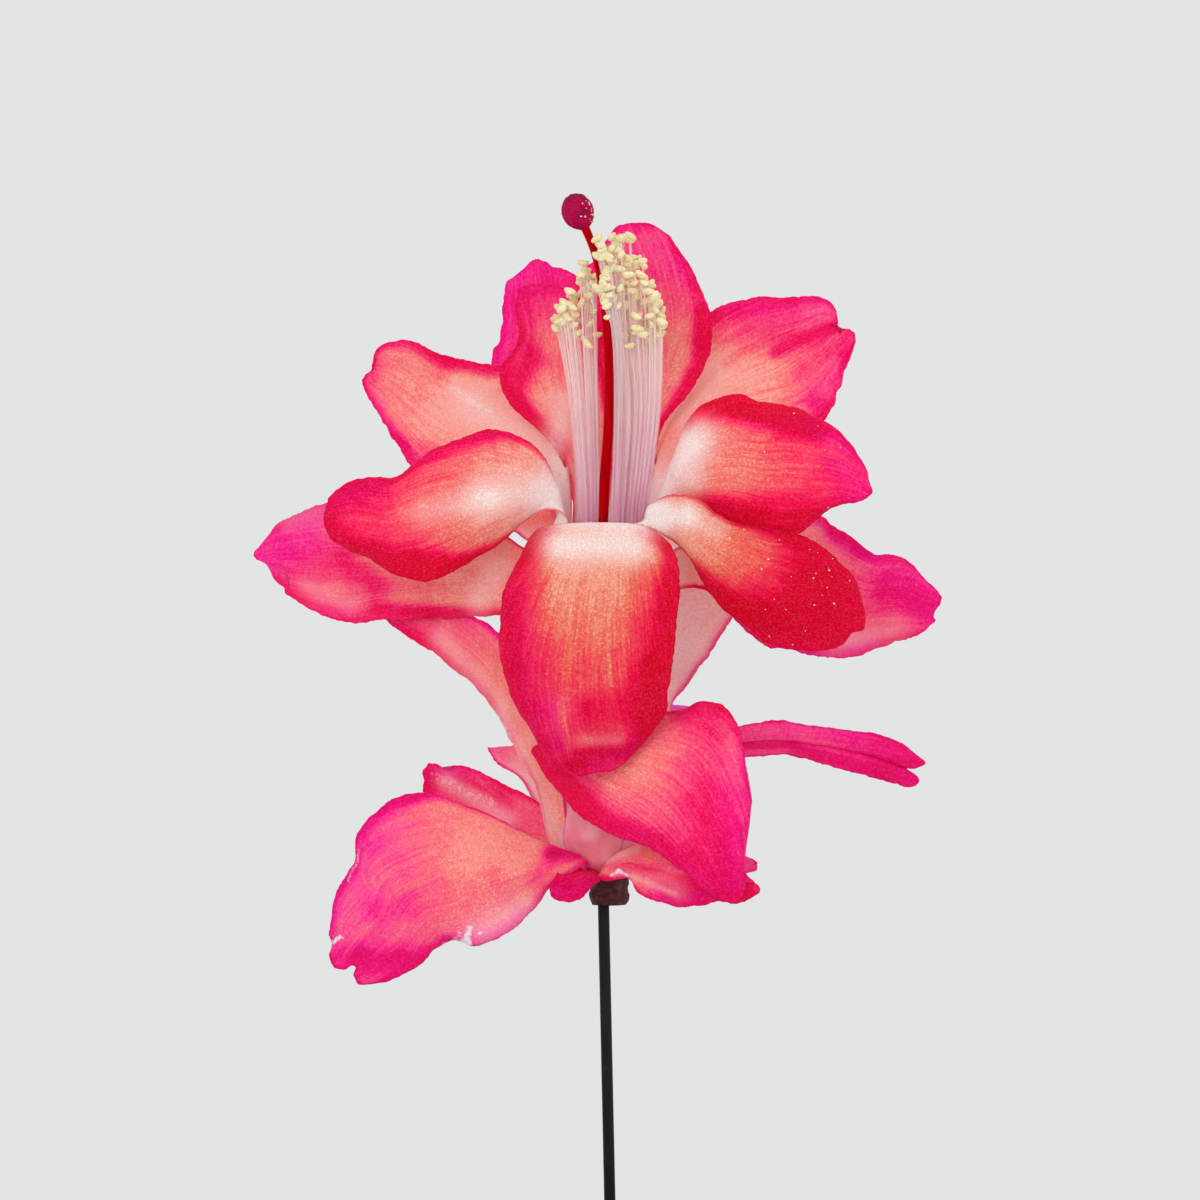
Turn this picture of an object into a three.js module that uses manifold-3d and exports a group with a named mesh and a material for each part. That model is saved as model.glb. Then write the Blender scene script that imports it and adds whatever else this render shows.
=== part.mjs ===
// One open Christmas cactus flower, upright on a thin rod that stands in the soil of a small clay pot.
// Millimetres, +Z up. The origin is the centre of the pot's flat underside, and the flower faces -Y.
import * as THREE from 'three';
import { mergeVertices } from 'three/addons/utils/BufferGeometryUtils.js';
import Module from 'manifold-3d';

const wasm = await Module();
wasm.setup();

// Driving dimensions, in millimetres.
const GAP = 0.3; // between pieces that touch
const BLADE = 0.62; // thickness of a petal
const POT = {
  height: 54, baseRadius: 21, shoulderRadius: 26.4, rimRadius: 31, rimTaper: 1.1, rimHeight: 14,
  wall: 4, floor: 5, edge: 0.9, sides: 48,
};
const SOIL = { top: 46, swell: 1.4, lump: 0.7, sides: 30, rings: 5 };
const ROD = { radius: 0.6, sides: 12, lean: [1.6, 0, -74] };
const FLOWER = [-0.7, 0, 90]; // centre of the ovary's underside, where the rod meets it
const OVARY = { offset: 0.6, radius: 2.15, height: 2.8, socket: 1.1, sides: 14 };
const TUBE = {
  profile: [[2.0, 3.1], [4.2, 4.6], [5.4, 7.2], [5.2, 12], [4.8, 20], [4.9, 30], [5.3, 37], [5.5, 39.4]],
  wall: 0.85, lean: 0.5, sides: 24,
};
const THROAT = { radius: 5.2, height: 40 };
const STYLE = {
  path: [[0, 0, 3.1], [0.1, -0.2, 20], [0.3, -0.8, 40], [0.5, -1.4, 53], [0.2, -1.6, 60.5], [-0.8, -1.6, 68]],
  radius: 0.55, sides: 7, steps: 11, head: [-2.7, -1.6, 72.6], headSize: [1.75, 1.7, 2.0],
};
const STAMENS = {
  seed: 11, core: { outer: 3.7, inner: 1.05, foot: 8, top: 41, sides: 16 }, filament: 0.34, sides: 4,
  rootRadius: [1.9, 3.2], sway: 0.3, sunk: 1.2,
  anther: { length: 1.6, outline: [[0.15, 0.48], [0.75, 0.46], [1, 0.2]] }, // share of the length, half width
  groups: [
    { facing: 180, count: 13, fan: 76, tip: [-1.4, 0.9, 62], spread: [3.6, 3.0, 5.8] },
    { facing: 0, count: 21, fan: 80, tip: [1.3, 0.9, 64], spread: [4.6, 3.1, 6.2] },
  ],
};

// A petal is a blade along a spine. Its root stands on the throat's rim at an angle, or on the tube's wall at
// an angle and a height: 0 degrees is +X, 90 is the back. One starts as a lobe that wraps the tube's front, at
// a point. The spine then runs through the points of via.
// face is the way its inner side looks, along the spine. right and left are the half widths from root to tip,
// seen from the face with the tip up. cup curls the margins, and wave is the height, count and start of the
// margin's waves. blunt is the share of the length where the rounding of the tip starts.
// The list runs from the petals on top to those that they cover, because a petal gives way to those before it.
const PETALS = {
  front: {
    rim: 268, via: [[-0.7, -9.5, 38.4], [-1.5, -14.5, 29.6], [-1.4, -14.5, 22], [-1.4, -12, 14.6]],
    face: [[0, 0, 1], [0, -0.9, 0.6], [0, -1, 0], [0, -1, -0.1], [0, -1, -0.2]],
    right: [2.2, 7.6, 9.2, 8.2, 6.2], left: [2.2, 7.8, 9.4, 8.4, 6],
    cup: [-0.2, -0.3, -0.3], wave: [0.25, 2, 0.1], blunt: 0.7, colour: 0xe8404c,
  },
  left: {
    rim: 200, via: [[-8, -5, 43.8], [-17, -9, 41.7], [-28.8, -9, 40.8]],
    face: [[0.3, -0.6, 0.8], [0, -0.8, 0.5], [-0.1, -0.95, 0.2]],
    right: [1.7, 7.2, 8.9, 4.8, 3.6], left: [1.7, 3.6, 7, 7, 3.8],
    cup: [-0.2, -0.2, 0], wave: [0.4, 1.8, 0.3], colour: 0xe63a58,
  },
  lower_right: {
    rim: 316, via: [[8, -7.5, 40], [16.6, -11, 34.5], [26.3, -11, 28.8]],
    face: [[-0.1, -0.5, 0.9], [0.2, -0.8, 0.5], [0.2, -0.9, 0.2]],
    right: [1.7, 3, 5.8, 6.2, 4.8], left: [1.7, 3.8, 6.4, 6.6, 4.8],
    cup: [-0.2, -0.2, 0], wave: [0.35, 2.2, 0], blunt: 0.78, colour: 0xe02a44,
  },
  right: {
    rim: 350, via: [[8.4, -5, 45.2], [17.2, -9, 46.2], [27.5, -9, 43.6]],
    face: [[-0.3, -0.7, 0.8], [0, -0.9, 0.4], [0.1, -0.95, 0.2]],
    right: [1.5, 3.4, 6.2, 6.2, 3.8], left: [1.5, 7.3, 8.2, 5.8, 3.8],
    cup: [-0.2, -0.2, -0.1], wave: [0.35, 2, 0.6], colour: 0xe62a4a,
  },
  rear_right: {
    rim: 62, via: [[3.6, 6.5, 51.3], [4.7, 9, 62.2], [4.1, 12, 73]],
    face: [[-0.2, -1, 0.1], [0, -1, 0.1], [0, -1, 0.3]],
    right: [1.7, 4.6, 6.6, 6.4, 5.2], left: [1.7, 3.8, 6.2, 6.6, 5.2],
    cup: [0.35, 0.3, 0.1], wave: [0.35, 2.4, 0.4], colour: 0xee4a62,
  },
  rear_left: {
    rim: 116, via: [[-4, 4.6, 50.2], [-5.5, 5, 58.7], [-6.4, 7, 66]],
    face: [[0.3, -1, 0.1], [0.2, -1, 0], [0.1, -1, 0.2]],
    right: [1.7, 3.4, 5.4, 6, 5.2], left: [1.7, 4.2, 6.2, 5.6, 4.6],
    cup: [0.4, 0.35, 0.2], wave: [0.3, 2, 0.8], colour: 0xee5064,
  },
  upper_left: {
    rim: 154, via: [[-9, 7, 49.2], [-17.6, 11, 53.5], [-25.7, 13, 57.9]],
    face: [[0.6, -0.7, 0.5], [0.1, -0.9, 0.4], [0, -0.9, 0.4]],
    right: [1.7, 3.6, 6.4, 6.4, 4.6], left: [1.7, 3.6, 6.6, 6.8, 3.8],
    cup: [0.2, 0.2, 0.1], wave: [0.4, 2.2, 0.2], colour: 0xee4a62,
  },
  upper_right: {
    rim: 24, via: [[8.4, 8, 49.3], [17, 13, 57.9], [27.1, 15, 60]],
    face: [[-0.5, -0.8, 0.5], [-0.1, -0.95, 0.3], [0, -1, 0.3]],
    right: [1.5, 4.4, 7.4, 7.6, 6.6], left: [1.5, 3.6, 6, 6.4, 5.8],
    cup: [0.2, 0.1, 0], wave: [0.45, 2.4, 0.5], blunt: 0.8, colour: 0xee4a62,
  },
  mid_front: {
    lobe: [-7.4, -3, 17.2], via: [[-1.2, -6.4, 17.4], [5.6, -11.6, 14.6], [10.4, -13.5, 7.8], [12.5, -11.5, 1.3]],
    face: [[-0.5, -0.8, 0.2], [-0.3, -0.9, 0.3], [0, -1, 0.3], [0, -1, 0.1], [0, -1, 0]],
    right: [0.8, 8.2, 8.6, 5.4, 2.4], left: [0.6, 2.5, 8.6, 5.4, 2.4],
    cup: [-0.1, -0.25, -0.2], wave: [0.35, 1.8, 0.3], colour: 0xf04a68,
  },
  outer_left: {
    wall: [186, 34], via: [[-12, 1, 34], [-24.8, 5, 35], [-37.5, 9, 36.8]],
    face: [[0.2, -0.9, 0.4], [0, -0.9, 0.4], [0, -0.9, 0.4]],
    right: [3, 4, 6, 7.4, 4.2], left: [3, 3.6, 5.4, 6.2, 3.6],
    cup: [0.3, 0.2, 0.1], wave: [0.5, 2.6, 0.1], colour: 0xee3c7e,
  },
  outer_right: {
    wall: [2, 34], via: [[13.4, 2, 34.2], [25.3, 6, 32.2], [36.5, 10, 32]],
    face: [[-0.2, -0.9, 0.4], [0, -0.9, 0.4], [0, -1, 0.3]],
    right: [2.6, 3.2, 6.2, 6.2, 3.6], left: [2.6, 3.2, 6.4, 6, 2.8],
    cup: [0.2, 0.2, 0.1], wave: [0.5, 2.8, 0.5], colour: 0xee3c7e,
  },
  mid_left: {
    wall: [196, 7.5], via: [[-7.6, -3.6, 17], [-15.3, 1, 26.2], [-25, 9, 31.6]],
    face: [[0.6, -0.7, 0.3], [0.5, -0.75, 0.4], [0.5, -0.7, 0.5]],
    right: [1.4, 2.4, 5.6, 6.4, 3], left: [1.4, 1.8, 3.8, 4.8, 3],
    cup: [0.4, 0.4, 0.3], wave: [0.3, 2, 0.2], colour: 0xf07a96,
  },
  mid_right: {
    wall: [14, 8.5], via: [[5.9, 3.5, 17.2], [7.2, 6, 26], [13, 11, 35.6]],
    face: [[-0.6, -0.7, 0.2], [-0.5, -0.8, 0.3], [-0.4, -0.8, 0.4]],
    right: [1.6, 2.2, 3.6, 4.6, 4], left: [1.6, 3, 4.4, 5.2, 4],
    cup: [0.3, 0.3, 0.2], wave: [0.3, 2, 0.7], colour: 0xf07a96,
  },
  low_left: {
    wall: [232, 4.4], via: [[-5.6, -7, 6], [-15, -12, 5], [-25.4, -11, -7]],
    face: [[0.2, -0.4, 0.9], [0, -0.8, 0.6], [-0.1, -0.95, 0.2]],
    right: [1.5, 3, 8.6, 11.8, 8.4], left: [1.5, 3.6, 8.2, 7.4, 4.2],
    cup: [-0.2, -0.2, 0], wave: [0.5, 2.4, 0.4], blunt: 0.75, colour: 0xf05084,
  },
  low_right: {
    wall: [296, 4.2], via: [[4, -7, 5], [10, -11, 3.4], [15.8, -10, 2.4]],
    face: [[-0.1, -0.5, 0.9], [0, -0.8, 0.6], [0, -0.9, 0.4]],
    right: [1.5, 2.2, 3.4, 3.4, 2], left: [1.5, 1.8, 2.8, 3, 1.8],
    cup: [-0.2, -0.2, 0], wave: [0.4, 2.4, 0.1], colour: 0xf04478,
  },
  low_front: {
    wall: [258, 3.6], via: [[-2.2, -5.2, 3.2], [-3.8, -7, 2.4], [-5.5, -7, 1.8]],
    face: [[0, -0.6, 0.8], [0, -0.8, 0.6], [0, -0.9, 0.3]],
    right: [1, 1.9, 2.2, 2, 1.3], left: [1, 1.5, 1.8, 1.7, 1.2],
    cup: [0, 0], wave: [0.2, 1.6, 0], colour: 0xd42058,
  },
  far_right: {
    wall: [24, 12.4], via: [[13.5, 6, 15.3], [24.3, 8, 15.3], [34, 7, 13.2]],
    face: [[-0.2, -0.6, 0.9], [0, -0.5, 0.9], [0, -0.4, 0.9]],
    right: [1.8, 3.4, 3.8, 3.4, 2.2], left: [1.8, 3.8, 4.6, 4.2, 2.4],
    cup: [0.3, 0.3, 0.1], wave: [0.35, 2.4, 0.3], colour: 0xee4c92,
  },
  low_back_left: {
    wall: [150, 4.6], via: [[-7, 6, 7.2], [-13.2, 8, 10.6], [-19.3, 9, 13]],
    face: [[0.1, -0.6, 0.8], [0, -0.6, 0.8], [0, -0.6, 0.8]],
    right: [1.5, 2.2, 2.8, 4, 3.6], left: [1.5, 3.2, 4, 3.6, 2.2],
    cup: [-0.3, -0.3, -0.3], wave: [0.35, 2.2, 0.6], colour: 0xee5088,
  },
  rear_outer: {
    wall: [92, 38], via: [[-4.4, 13, 51.6], [-6.9, 18, 61.2], [-6.2, 20, 69.8]],
    face: [[0.2, -1, 0.1], [0.1, -1, 0], [0.1, -1, 0.2]],
    right: [1.8, 4, 5, 5, 4.6], left: [1.8, 5, 6, 4.4, 3.6],
    cup: [0.3, 0.3, 0.1], wave: [0.4, 2.4, 0.7], colour: 0xe63470,
  },
  mid_back: {
    wall: [84, 13], via: [[2.7, 10, 19], [5.9, 16, 21.2], [6.5, 24, 18.5]],
    face: [[0, -0.2, 1], [0, 0.2, 1], [0, 0.6, 0.8]],
    right: [1.8, 4.6, 5.6, 5.6, 4], left: [1.8, 4.6, 5.6, 5.6, 4],
    cup: [-0.1, -0.1, 0], wave: [0.4, 2.2, 0.1], colour: 0xd84ab4,
  },
  low_back: {
    wall: [112, 5], via: [[-4.7, 11, 10], [-8.5, 15, 13.1], [-12.2, 19, 14.8]],
    face: [[0, -0.5, 0.8], [0, -0.5, 0.8], [0, -0.5, 0.8]],
    right: [1.5, 3.2, 3.8, 3, 1.4], left: [1.5, 3.2, 3.8, 3, 1.4],
    cup: [0.2, 0.2, 0.1], wave: [0.3, 2, 0.4], colour: 0xee5090,
  },
  back_left: {
    wall: [130, 35], via: [[-8.5, 12, 41], [-12, 20, 44], [-14, 27.5, 42.5]],
    face: [[0.3, -0.5, 0.8], [0, -0.3, 0.9], [0, -0.1, 1]],
    right: [1.6, 3.4, 5.2, 5.4, 3.8], left: [1.6, 3.4, 5, 5.2, 3.8],
    cup: [0.2, 0.2, 0], wave: [0.4, 2.4, 0.3], colour: 0xea4484,
  },
  back_right: {
    wall: [46, 35], via: [[9.5, 12, 41], [14, 20, 44.5], [17, 27.5, 43.5]],
    face: [[-0.3, -0.5, 0.8], [0, -0.3, 0.9], [0, -0.1, 1]],
    right: [1.6, 3.4, 5, 5.2, 3.6], left: [1.6, 3.4, 5.2, 5.4, 3.6],
    cup: [0.2, 0.2, 0], wave: [0.4, 2.2, 0.8], colour: 0xea4484,
  },
  low_back_right: {
    wall: [40, 4.6], via: [[6.5, 8, 5.3], [11.5, 11, 4.2], [16.6, 11, 3.4]],
    face: [[-0.1, -0.3, 0.9], [0, -0.3, 0.9], [0, -0.3, 0.9]],
    right: [1.5, 3.6, 5, 5, 2.6], left: [1.5, 3.6, 5, 5, 2.6],
    cup: [0, 0], wave: [0.4, 2.2, 0.2], colour: 0xee3c7e,
  },
};
const ROW_LENGTH = 2.8; // a petal is split about this often from root to tip
const COLUMNS = 6; // and this many times from margin to margin
const TIP_HALF = 0.3; // half width that a petal keeps at its very tip
const CURL_PULL = 0.33; // how far a curled margin draws a petal narrower
const NUDGE = 0.002; // step along a spine, for its direction
const LEAST_EDGE = 0.01; // edges below this are taken up after a cut

const PETAL_ROUGHNESS = 0.5;
const COLOURS = {
  terracotta: [0xb4633f, 0.9], soil: [0x3a2a20, 1], rod: [0x1c1210, 0.45], ovary: [0x4a3838, 0.7],
  tube: [0xf2c4cc, 0.5], stamens: [0xf4e6c8, 0.6], style: [0xa00018, 0.4],
};

const vector = (list) => new THREE.Vector3(...list);
const lerp = THREE.MathUtils.lerp;
const radians = THREE.MathUtils.degToRad;

// The value of evenly spaced numbers or vectors at t from 0 to 1, along straight stretches.
function along(list, t) {
  const place = Math.min(Math.max(t, 0), 1) * (list.length - 1);
  const i = Math.min(Math.floor(place), list.length - 2);
  return list[i].isVector3
    ? list[i].clone().lerp(list[i + 1], place - i)
    : lerp(list[i], list[i + 1], place - i);
}

// The same, along a Catmull-Rom curve whose ends are reflected.
function curve(list, t) {
  const last = list.length - 1;
  const place = Math.min(Math.max(t, 0), 1) * last;
  const i = Math.min(Math.floor(place), last - 1);
  const f = place - i;
  const before = i > 0 ? list[i - 1] : mirrored(list[0], list[1]);
  const after = i + 2 <= last ? list[i + 2] : mirrored(list[last], list[last - 1]);
  const blend = (a, b, c, d) =>
    0.5 * (2 * b + (c - a) * f + (2 * a - 5 * b + 4 * c - d) * f ** 2 + (3 * b - a - 3 * c + d) * f ** 3);
  if (!list[i].isVector3) return blend(before, list[i], list[i + 1], after);
  const axes = ['x', 'y', 'z'].map((k) => blend(before[k], list[i][k], list[i + 1][k], after[k]));
  return new THREE.Vector3(...axes);
}

function mirrored(end, next) {
  return end.isVector3 ? end.clone().multiplyScalar(2).sub(next) : 2 * end - next;
}

// Seeded draws from 0 to 1.
function draws(seed) {
  let state = seed;
  return () => {
    state = (state * 1664525 + 1013904223) % 4294967296;
    return state / 4294967296;
  };
}

// Triangles of a geometry as a closed solid that faces out.
function solidOf(geometry) {
  const bare = new THREE.BufferGeometry().setAttribute('position', geometry.getAttribute('position').clone());
  bare.setIndex(geometry.index);
  const merged = mergeVertices(bare, 1e-3);
  const corners = merged.index.array;
  const kept = [];
  for (let i = 0; i < corners.length; i += 3) {
    const [a, b, c] = corners.slice(i, i + 3);
    if (a !== b && b !== c && c !== a) kept.push(a, b, c);
  }
  const make = (triVerts) =>
    new wasm.Manifold(new wasm.Mesh({
      numProp: 3,
      vertProperties: new Float32Array(merged.getAttribute('position').array),
      triVerts: new Uint32Array(triVerts),
    }));
  const solid = make(kept);
  return solid.volume() > 0 ? solid : make(kept.reverse());
}

// The triangles of a solid as a geometry that a mesh can show.
function geometryOf(solid) {
  const { vertProperties, triVerts, numProp } = solid.getMesh();
  const positions = new Float32Array((vertProperties.length / numProp) * 3);
  for (let i = 0; i < positions.length; i++) {
    positions[i] = vertProperties[Math.floor(i / 3) * numProp + (i % 3)];
  }
  const geometry = new THREE.BufferGeometry();
  geometry.setAttribute('position', new THREE.BufferAttribute(positions, 3));
  geometry.setIndex([...triVerts]);
  geometry.computeVertexNormals();
  return geometry;
}

// What is left of a solid when it gives way to others: its largest piece, with tiny edges taken up.
function cutBy(solid, others) {
  const left = others.reduce((rest, other) => rest.subtract(other), solid);
  const pieces = left.decompose().sort((a, b) => b.volume() - a.volume());
  return pieces[0].simplify(LEAST_EDGE);
}

// A solid of revolution about Z from its outline of [radius, height] points.
function turned(outline, sides) {
  const points = outline.map(([r, z]) => new THREE.Vector2(r, z));
  return new THREE.LatheGeometry(points, sides).rotateX(Math.PI / 2);
}

// A round bar along a path, closed at both ends.
function bar(path, radius, sides, steps) {
  const section = new THREE.Shape(
    Array.from({ length: sides }, (_, i) => {
      const angle = (2 * Math.PI * i) / sides;
      return new THREE.Vector2(radius * Math.cos(angle), radius * Math.sin(angle));
    }),
  );
  const route = path.length === 2 ? new THREE.LineCurve3(...path) : new THREE.CatmullRomCurve3(path);
  return new THREE.ExtrudeGeometry(section, { steps, extrudePath: route, curveSegments: 1 });
}

// The tube's outer radius at a height, and the shift of its axis there.
function tubeRadius(z) {
  const { profile } = TUBE;
  const i = Math.max(1, profile.findIndex(([, height]) => height >= z));
  const [[r0, z0], [r1, z1]] = [profile[i - 1], profile[i]];
  return lerp(r0, r1, (z - z0) / (z1 - z0));
}
const tubeShift = (z) => (TUBE.lean * z) / THROAT.height;

// The foot of a petal's spine, on the rim of the throat or on the wall of the tube.
function petalRoot({ rim, wall, lobe }) {
  if (lobe) return vector(lobe);
  const [angle, z] = wall ?? [rim, THROAT.height];
  const reach = wall ? tubeRadius(z) + GAP : THROAT.radius;
  const turn = radians(angle);
  return new THREE.Vector3(tubeShift(z) + reach * Math.cos(turn), reach * Math.sin(turn), z);
}

// The blade of a petal: a grid of points on its middle surface, thickened to both sides and closed.
// grow widens it all round, for the room that a petal keeps from the one in front.
function blade(petal, thickness, grow = 0) {
  const spine = [petalRoot(petal), ...petal.via.map(vector)];
  const length = spine.slice(1).reduce((sum, point, i) => sum + point.distanceTo(spine[i]), 0);
  const rows = Math.max(5, Math.round(length / ROW_LENGTH));
  const faces = petal.face.map(vector);
  const blunt = petal.blunt ?? 0.72;
  const [height, count, start] = petal.wave;
  const grid = [];
  for (let i = 0; i <= rows; i++) {
    const v = Math.sin((i / rows) * (Math.PI / 2));
    const middle = curve(spine, v);
    const tangent = curve(spine, v + NUDGE).sub(curve(spine, v - NUDGE)).normalize();
    const side = tangent.clone().cross(along(faces, v)).normalize();
    const normal = side.clone().cross(tangent);
    const round = Math.min(Math.max((v - blunt) / (1 - blunt), 0), 1);
    const tip = Math.sqrt(1 - round ** 2);
    const cup = along(petal.cup, v);
    const row = [];
    for (let j = 0; j <= COLUMNS; j++) {
      const u = (2 * j) / COLUMNS - 1;
      const half = Math.max(curve(u > 0 ? petal.right : petal.left, v) * tip, TIP_HALF) + grow;
      const out = half * u * (1 - CURL_PULL * cup ** 2 * u ** 2);
      const phase = 2 * Math.PI * (count * v + start + 0.25 * Math.sign(u));
      const rise = cup * half * u ** 2 + height * Math.sin(phase) * Math.abs(u) ** 3 * Math.min(3 * v, 1);
      row.push(middle.clone().addScaledVector(side, out).addScaledVector(normal, rise)
        .addScaledVector(tangent, i === rows ? grow : 0));
    }
    grid.push(row);
  }
  return thickened(grid, thickness);
}

// A grid of points thickened to both sides, with the same split of each quad on both faces.
function thickened(grid, thickness) {
  const columns = grid[0].length;
  const positions = [];
  for (const way of [0.5, -0.5]) {
    grid.forEach((row, i) => row.forEach((point, j) => {
      const up = grid[Math.min(i + 1, grid.length - 1)][j].clone().sub(grid[Math.max(i - 1, 0)][j]);
      const across = row[Math.min(j + 1, columns - 1)].clone().sub(row[Math.max(j - 1, 0)]);
      const normal = across.cross(up).normalize();
      positions.push(...point.clone().addScaledVector(normal, way * thickness).toArray());
    }));
  }
  const under = grid.length * columns;
  const corners = [];
  const quad = (a, b, c, d) => corners.push(a, b, c, a, c, d);
  for (let i = 0; i + 1 < grid.length; i++) {
    for (let j = 0; j + 1 < columns; j++) {
      const a = i * columns + j;
      corners.push(a, a + 1, a + columns + 1, a, a + columns + 1, a + columns);
      const b = under + a;
      corners.push(b, b + columns + 1, b + 1, b, b + columns, b + columns + 1);
    }
  }
  const last = (grid.length - 1) * columns;
  for (let j = 0; j + 1 < columns; j++) {
    quad(under + j, under + j + 1, j + 1, j);
    quad(last + j, last + j + 1, under + last + j + 1, under + last + j);
  }
  for (let i = 0; i + 1 < grid.length; i++) {
    const a = i * columns;
    const b = a + columns - 1;
    quad(a, a + columns, under + a + columns, under + a);
    quad(under + b, under + b + columns, b + columns, b);
  }
  const geometry = new THREE.BufferGeometry();
  geometry.setAttribute('position', new THREE.Float32BufferAttribute(positions, 3));
  geometry.setIndex(corners);
  return solidOf(geometry);
}

// The floral tube, open at the throat and at its foot.
function floralTube() {
  const { profile, wall, sides } = TUBE;
  const inner = profile.map(([r, z]) => [r - wall, z]).reverse();
  return solidOf(leaning(turned([...profile, ...inner, profile[0]], sides)));
}

// What the petals keep clear of, round the tube.
function tubeRoom() {
  const { profile, sides } = TUBE;
  const [foot, mouth] = [profile[0], profile.at(-1)];
  const outline = [
    [0, foot[1] - GAP], [foot[0] + GAP, foot[1] - GAP],
    ...profile.map(([r, z]) => [r + GAP, z]),
    [mouth[0] + GAP, mouth[1] + GAP], [0, mouth[1] + GAP],
  ];
  return solidOf(leaning(turned(outline, sides)));
}

// A turned shape sheared sideways, because the throat lies a little to the right of the foot.
function leaning(geometry) {
  const places = geometry.getAttribute('position');
  for (let i = 0; i < places.count; i++) places.setX(i, places.getX(i) + tubeShift(places.getZ(i)));
  return geometry;
}

// The style runs from the ovary up through the tube and ends in the stigma's head.
function styleAndStigma(radius, grow = 0) {
  const route = STYLE.path.map(vector);
  const stem = solidOf(bar([...route, vector(STYLE.head)], radius + grow, STYLE.sides, STYLE.steps));
  const head = new THREE.SphereGeometry(1, 10, 8);
  head.scale(...STYLE.headSize.map((r) => r + grow));
  head.translate(...STYLE.head);
  return stem.add(solidOf(head));
}

// One filament along a path, with its anther at the end, which points along lie.
function stamen(path, lie) {
  const { filament, sides, anther } = STAMENS;
  const end = path.at(-1);
  const stations = path.map((point) => [point, filament]);
  for (const [share, width] of anther.outline) {
    stations.push([end.clone().addScaledVector(lie, share * anther.length), width]);
  }
  const positions = [];
  stations.forEach(([point, radius], i) => {
    const next = stations[Math.min(i + 1, stations.length - 1)][0];
    const ahead = next.clone().sub(stations[Math.max(i - 1, 0)][0]).normalize();
    const across = new THREE.Vector3(0, 1, 0).cross(ahead).normalize();
    const deep = ahead.clone().cross(across);
    for (let k = 0; k < sides; k++) {
      const angle = (2 * Math.PI * k) / sides;
      const spoke = across.clone().multiplyScalar(Math.cos(angle)).addScaledVector(deep, Math.sin(angle));
      positions.push(...point.clone().addScaledVector(spoke, radius).toArray());
    }
  });
  const corners = [];
  for (let i = 0; i + 1 < stations.length; i++) {
    for (let k = 0; k < sides; k++) {
      const [a, b] = [i * sides + k, i * sides + ((k + 1) % sides)];
      corners.push(a, b, b + sides, a, b + sides, a + sides);
    }
  }
  const last = (stations.length - 1) * sides;
  for (let k = 1; k + 1 < sides; k++) {
    corners.push(0, k + 1, k, last, last + k, last + k + 1);
  }
  const geometry = new THREE.BufferGeometry();
  geometry.setAttribute('position', new THREE.Float32BufferAttribute(positions, 3));
  geometry.setIndex(corners);
  return solidOf(geometry);
}

// The stamens: a core inside the tube, and two groups of filaments that fan out from it, each with its
// anther, all fused to one body. Roots stand in an inner and an outer ring, in turn.
function stamens() {
  const { core, seed, rootRadius } = STAMENS;
  const draw = draws(seed);
  const wander = () => lerp(-1, 1, draw());
  const ring = [[core.inner, core.foot], [core.outer, core.foot], [core.outer, core.top], [core.inner, core.top]];
  let body = solidOf(leaning(turned([...ring, ring[0]], core.sides)));
  for (const { facing, count, fan, tip, spread } of STAMENS.groups) {
    for (let i = 0; i < count; i++) {
      const turn = radians(facing + lerp(-fan, fan, (i + 0.5) / count));
      const inner = i % 2 === 0;
      const reach = rootRadius[inner ? 0 : 1];
      const root = new THREE.Vector3(
        tubeShift(core.top) + reach * Math.cos(turn), reach * Math.sin(turn), core.top - STAMENS.sunk,
      );
      const open = inner ? lerp(0.1, 0.5, draw()) : lerp(0.6, 1, draw());
      const outward = Math.abs(Math.cos(turn)) * Math.sign(Math.cos(radians(facing)));
      const end = vector(tip).add(
        new THREE.Vector3(outward * open, Math.sin(turn) * open, wander()).multiply(vector(spread)),
      );
      const middle = root.clone().lerp(end, 0.5);
      middle.add(new THREE.Vector3(wander(), wander(), 0).multiplyScalar(STAMENS.sway));
      const lie = new THREE.Vector3(wander(), wander(), 1).normalize();
      body = body.add(stamen([root, middle, end], lie));
    }
  }
  return body;
}

// A clay pot with a rim band, solid from its outline.
function pot() {
  const { height, baseRadius, shoulderRadius, rimRadius, rimTaper, rimHeight, wall, floor, edge, sides } = POT;
  const under = height - rimHeight;
  const outside = [
    [0, 0], [baseRadius - edge, 0], [baseRadius, edge], [shoulderRadius, under],
    [rimRadius - rimTaper - edge, under], [rimRadius - rimTaper, under + edge],
    [rimRadius, height - edge], [rimRadius - edge, height],
  ];
  const inside = [
    [rimRadius - wall + edge, height], [rimRadius - wall, height - edge],
    [potInside(under), under], [potInside(floor), floor], [0, floor],
  ];
  return solidOf(turned([...outside, ...inside], sides));
}

// The radius of the pot's inner wall at a height.
function potInside(z) {
  const under = POT.height - POT.rimHeight;
  if (z > under) return lerp(potInside(under), POT.rimRadius - POT.wall, (z - under) / POT.rimHeight);
  return lerp(POT.baseRadius, POT.shoulderRadius, z / under) - POT.wall;
}

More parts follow.
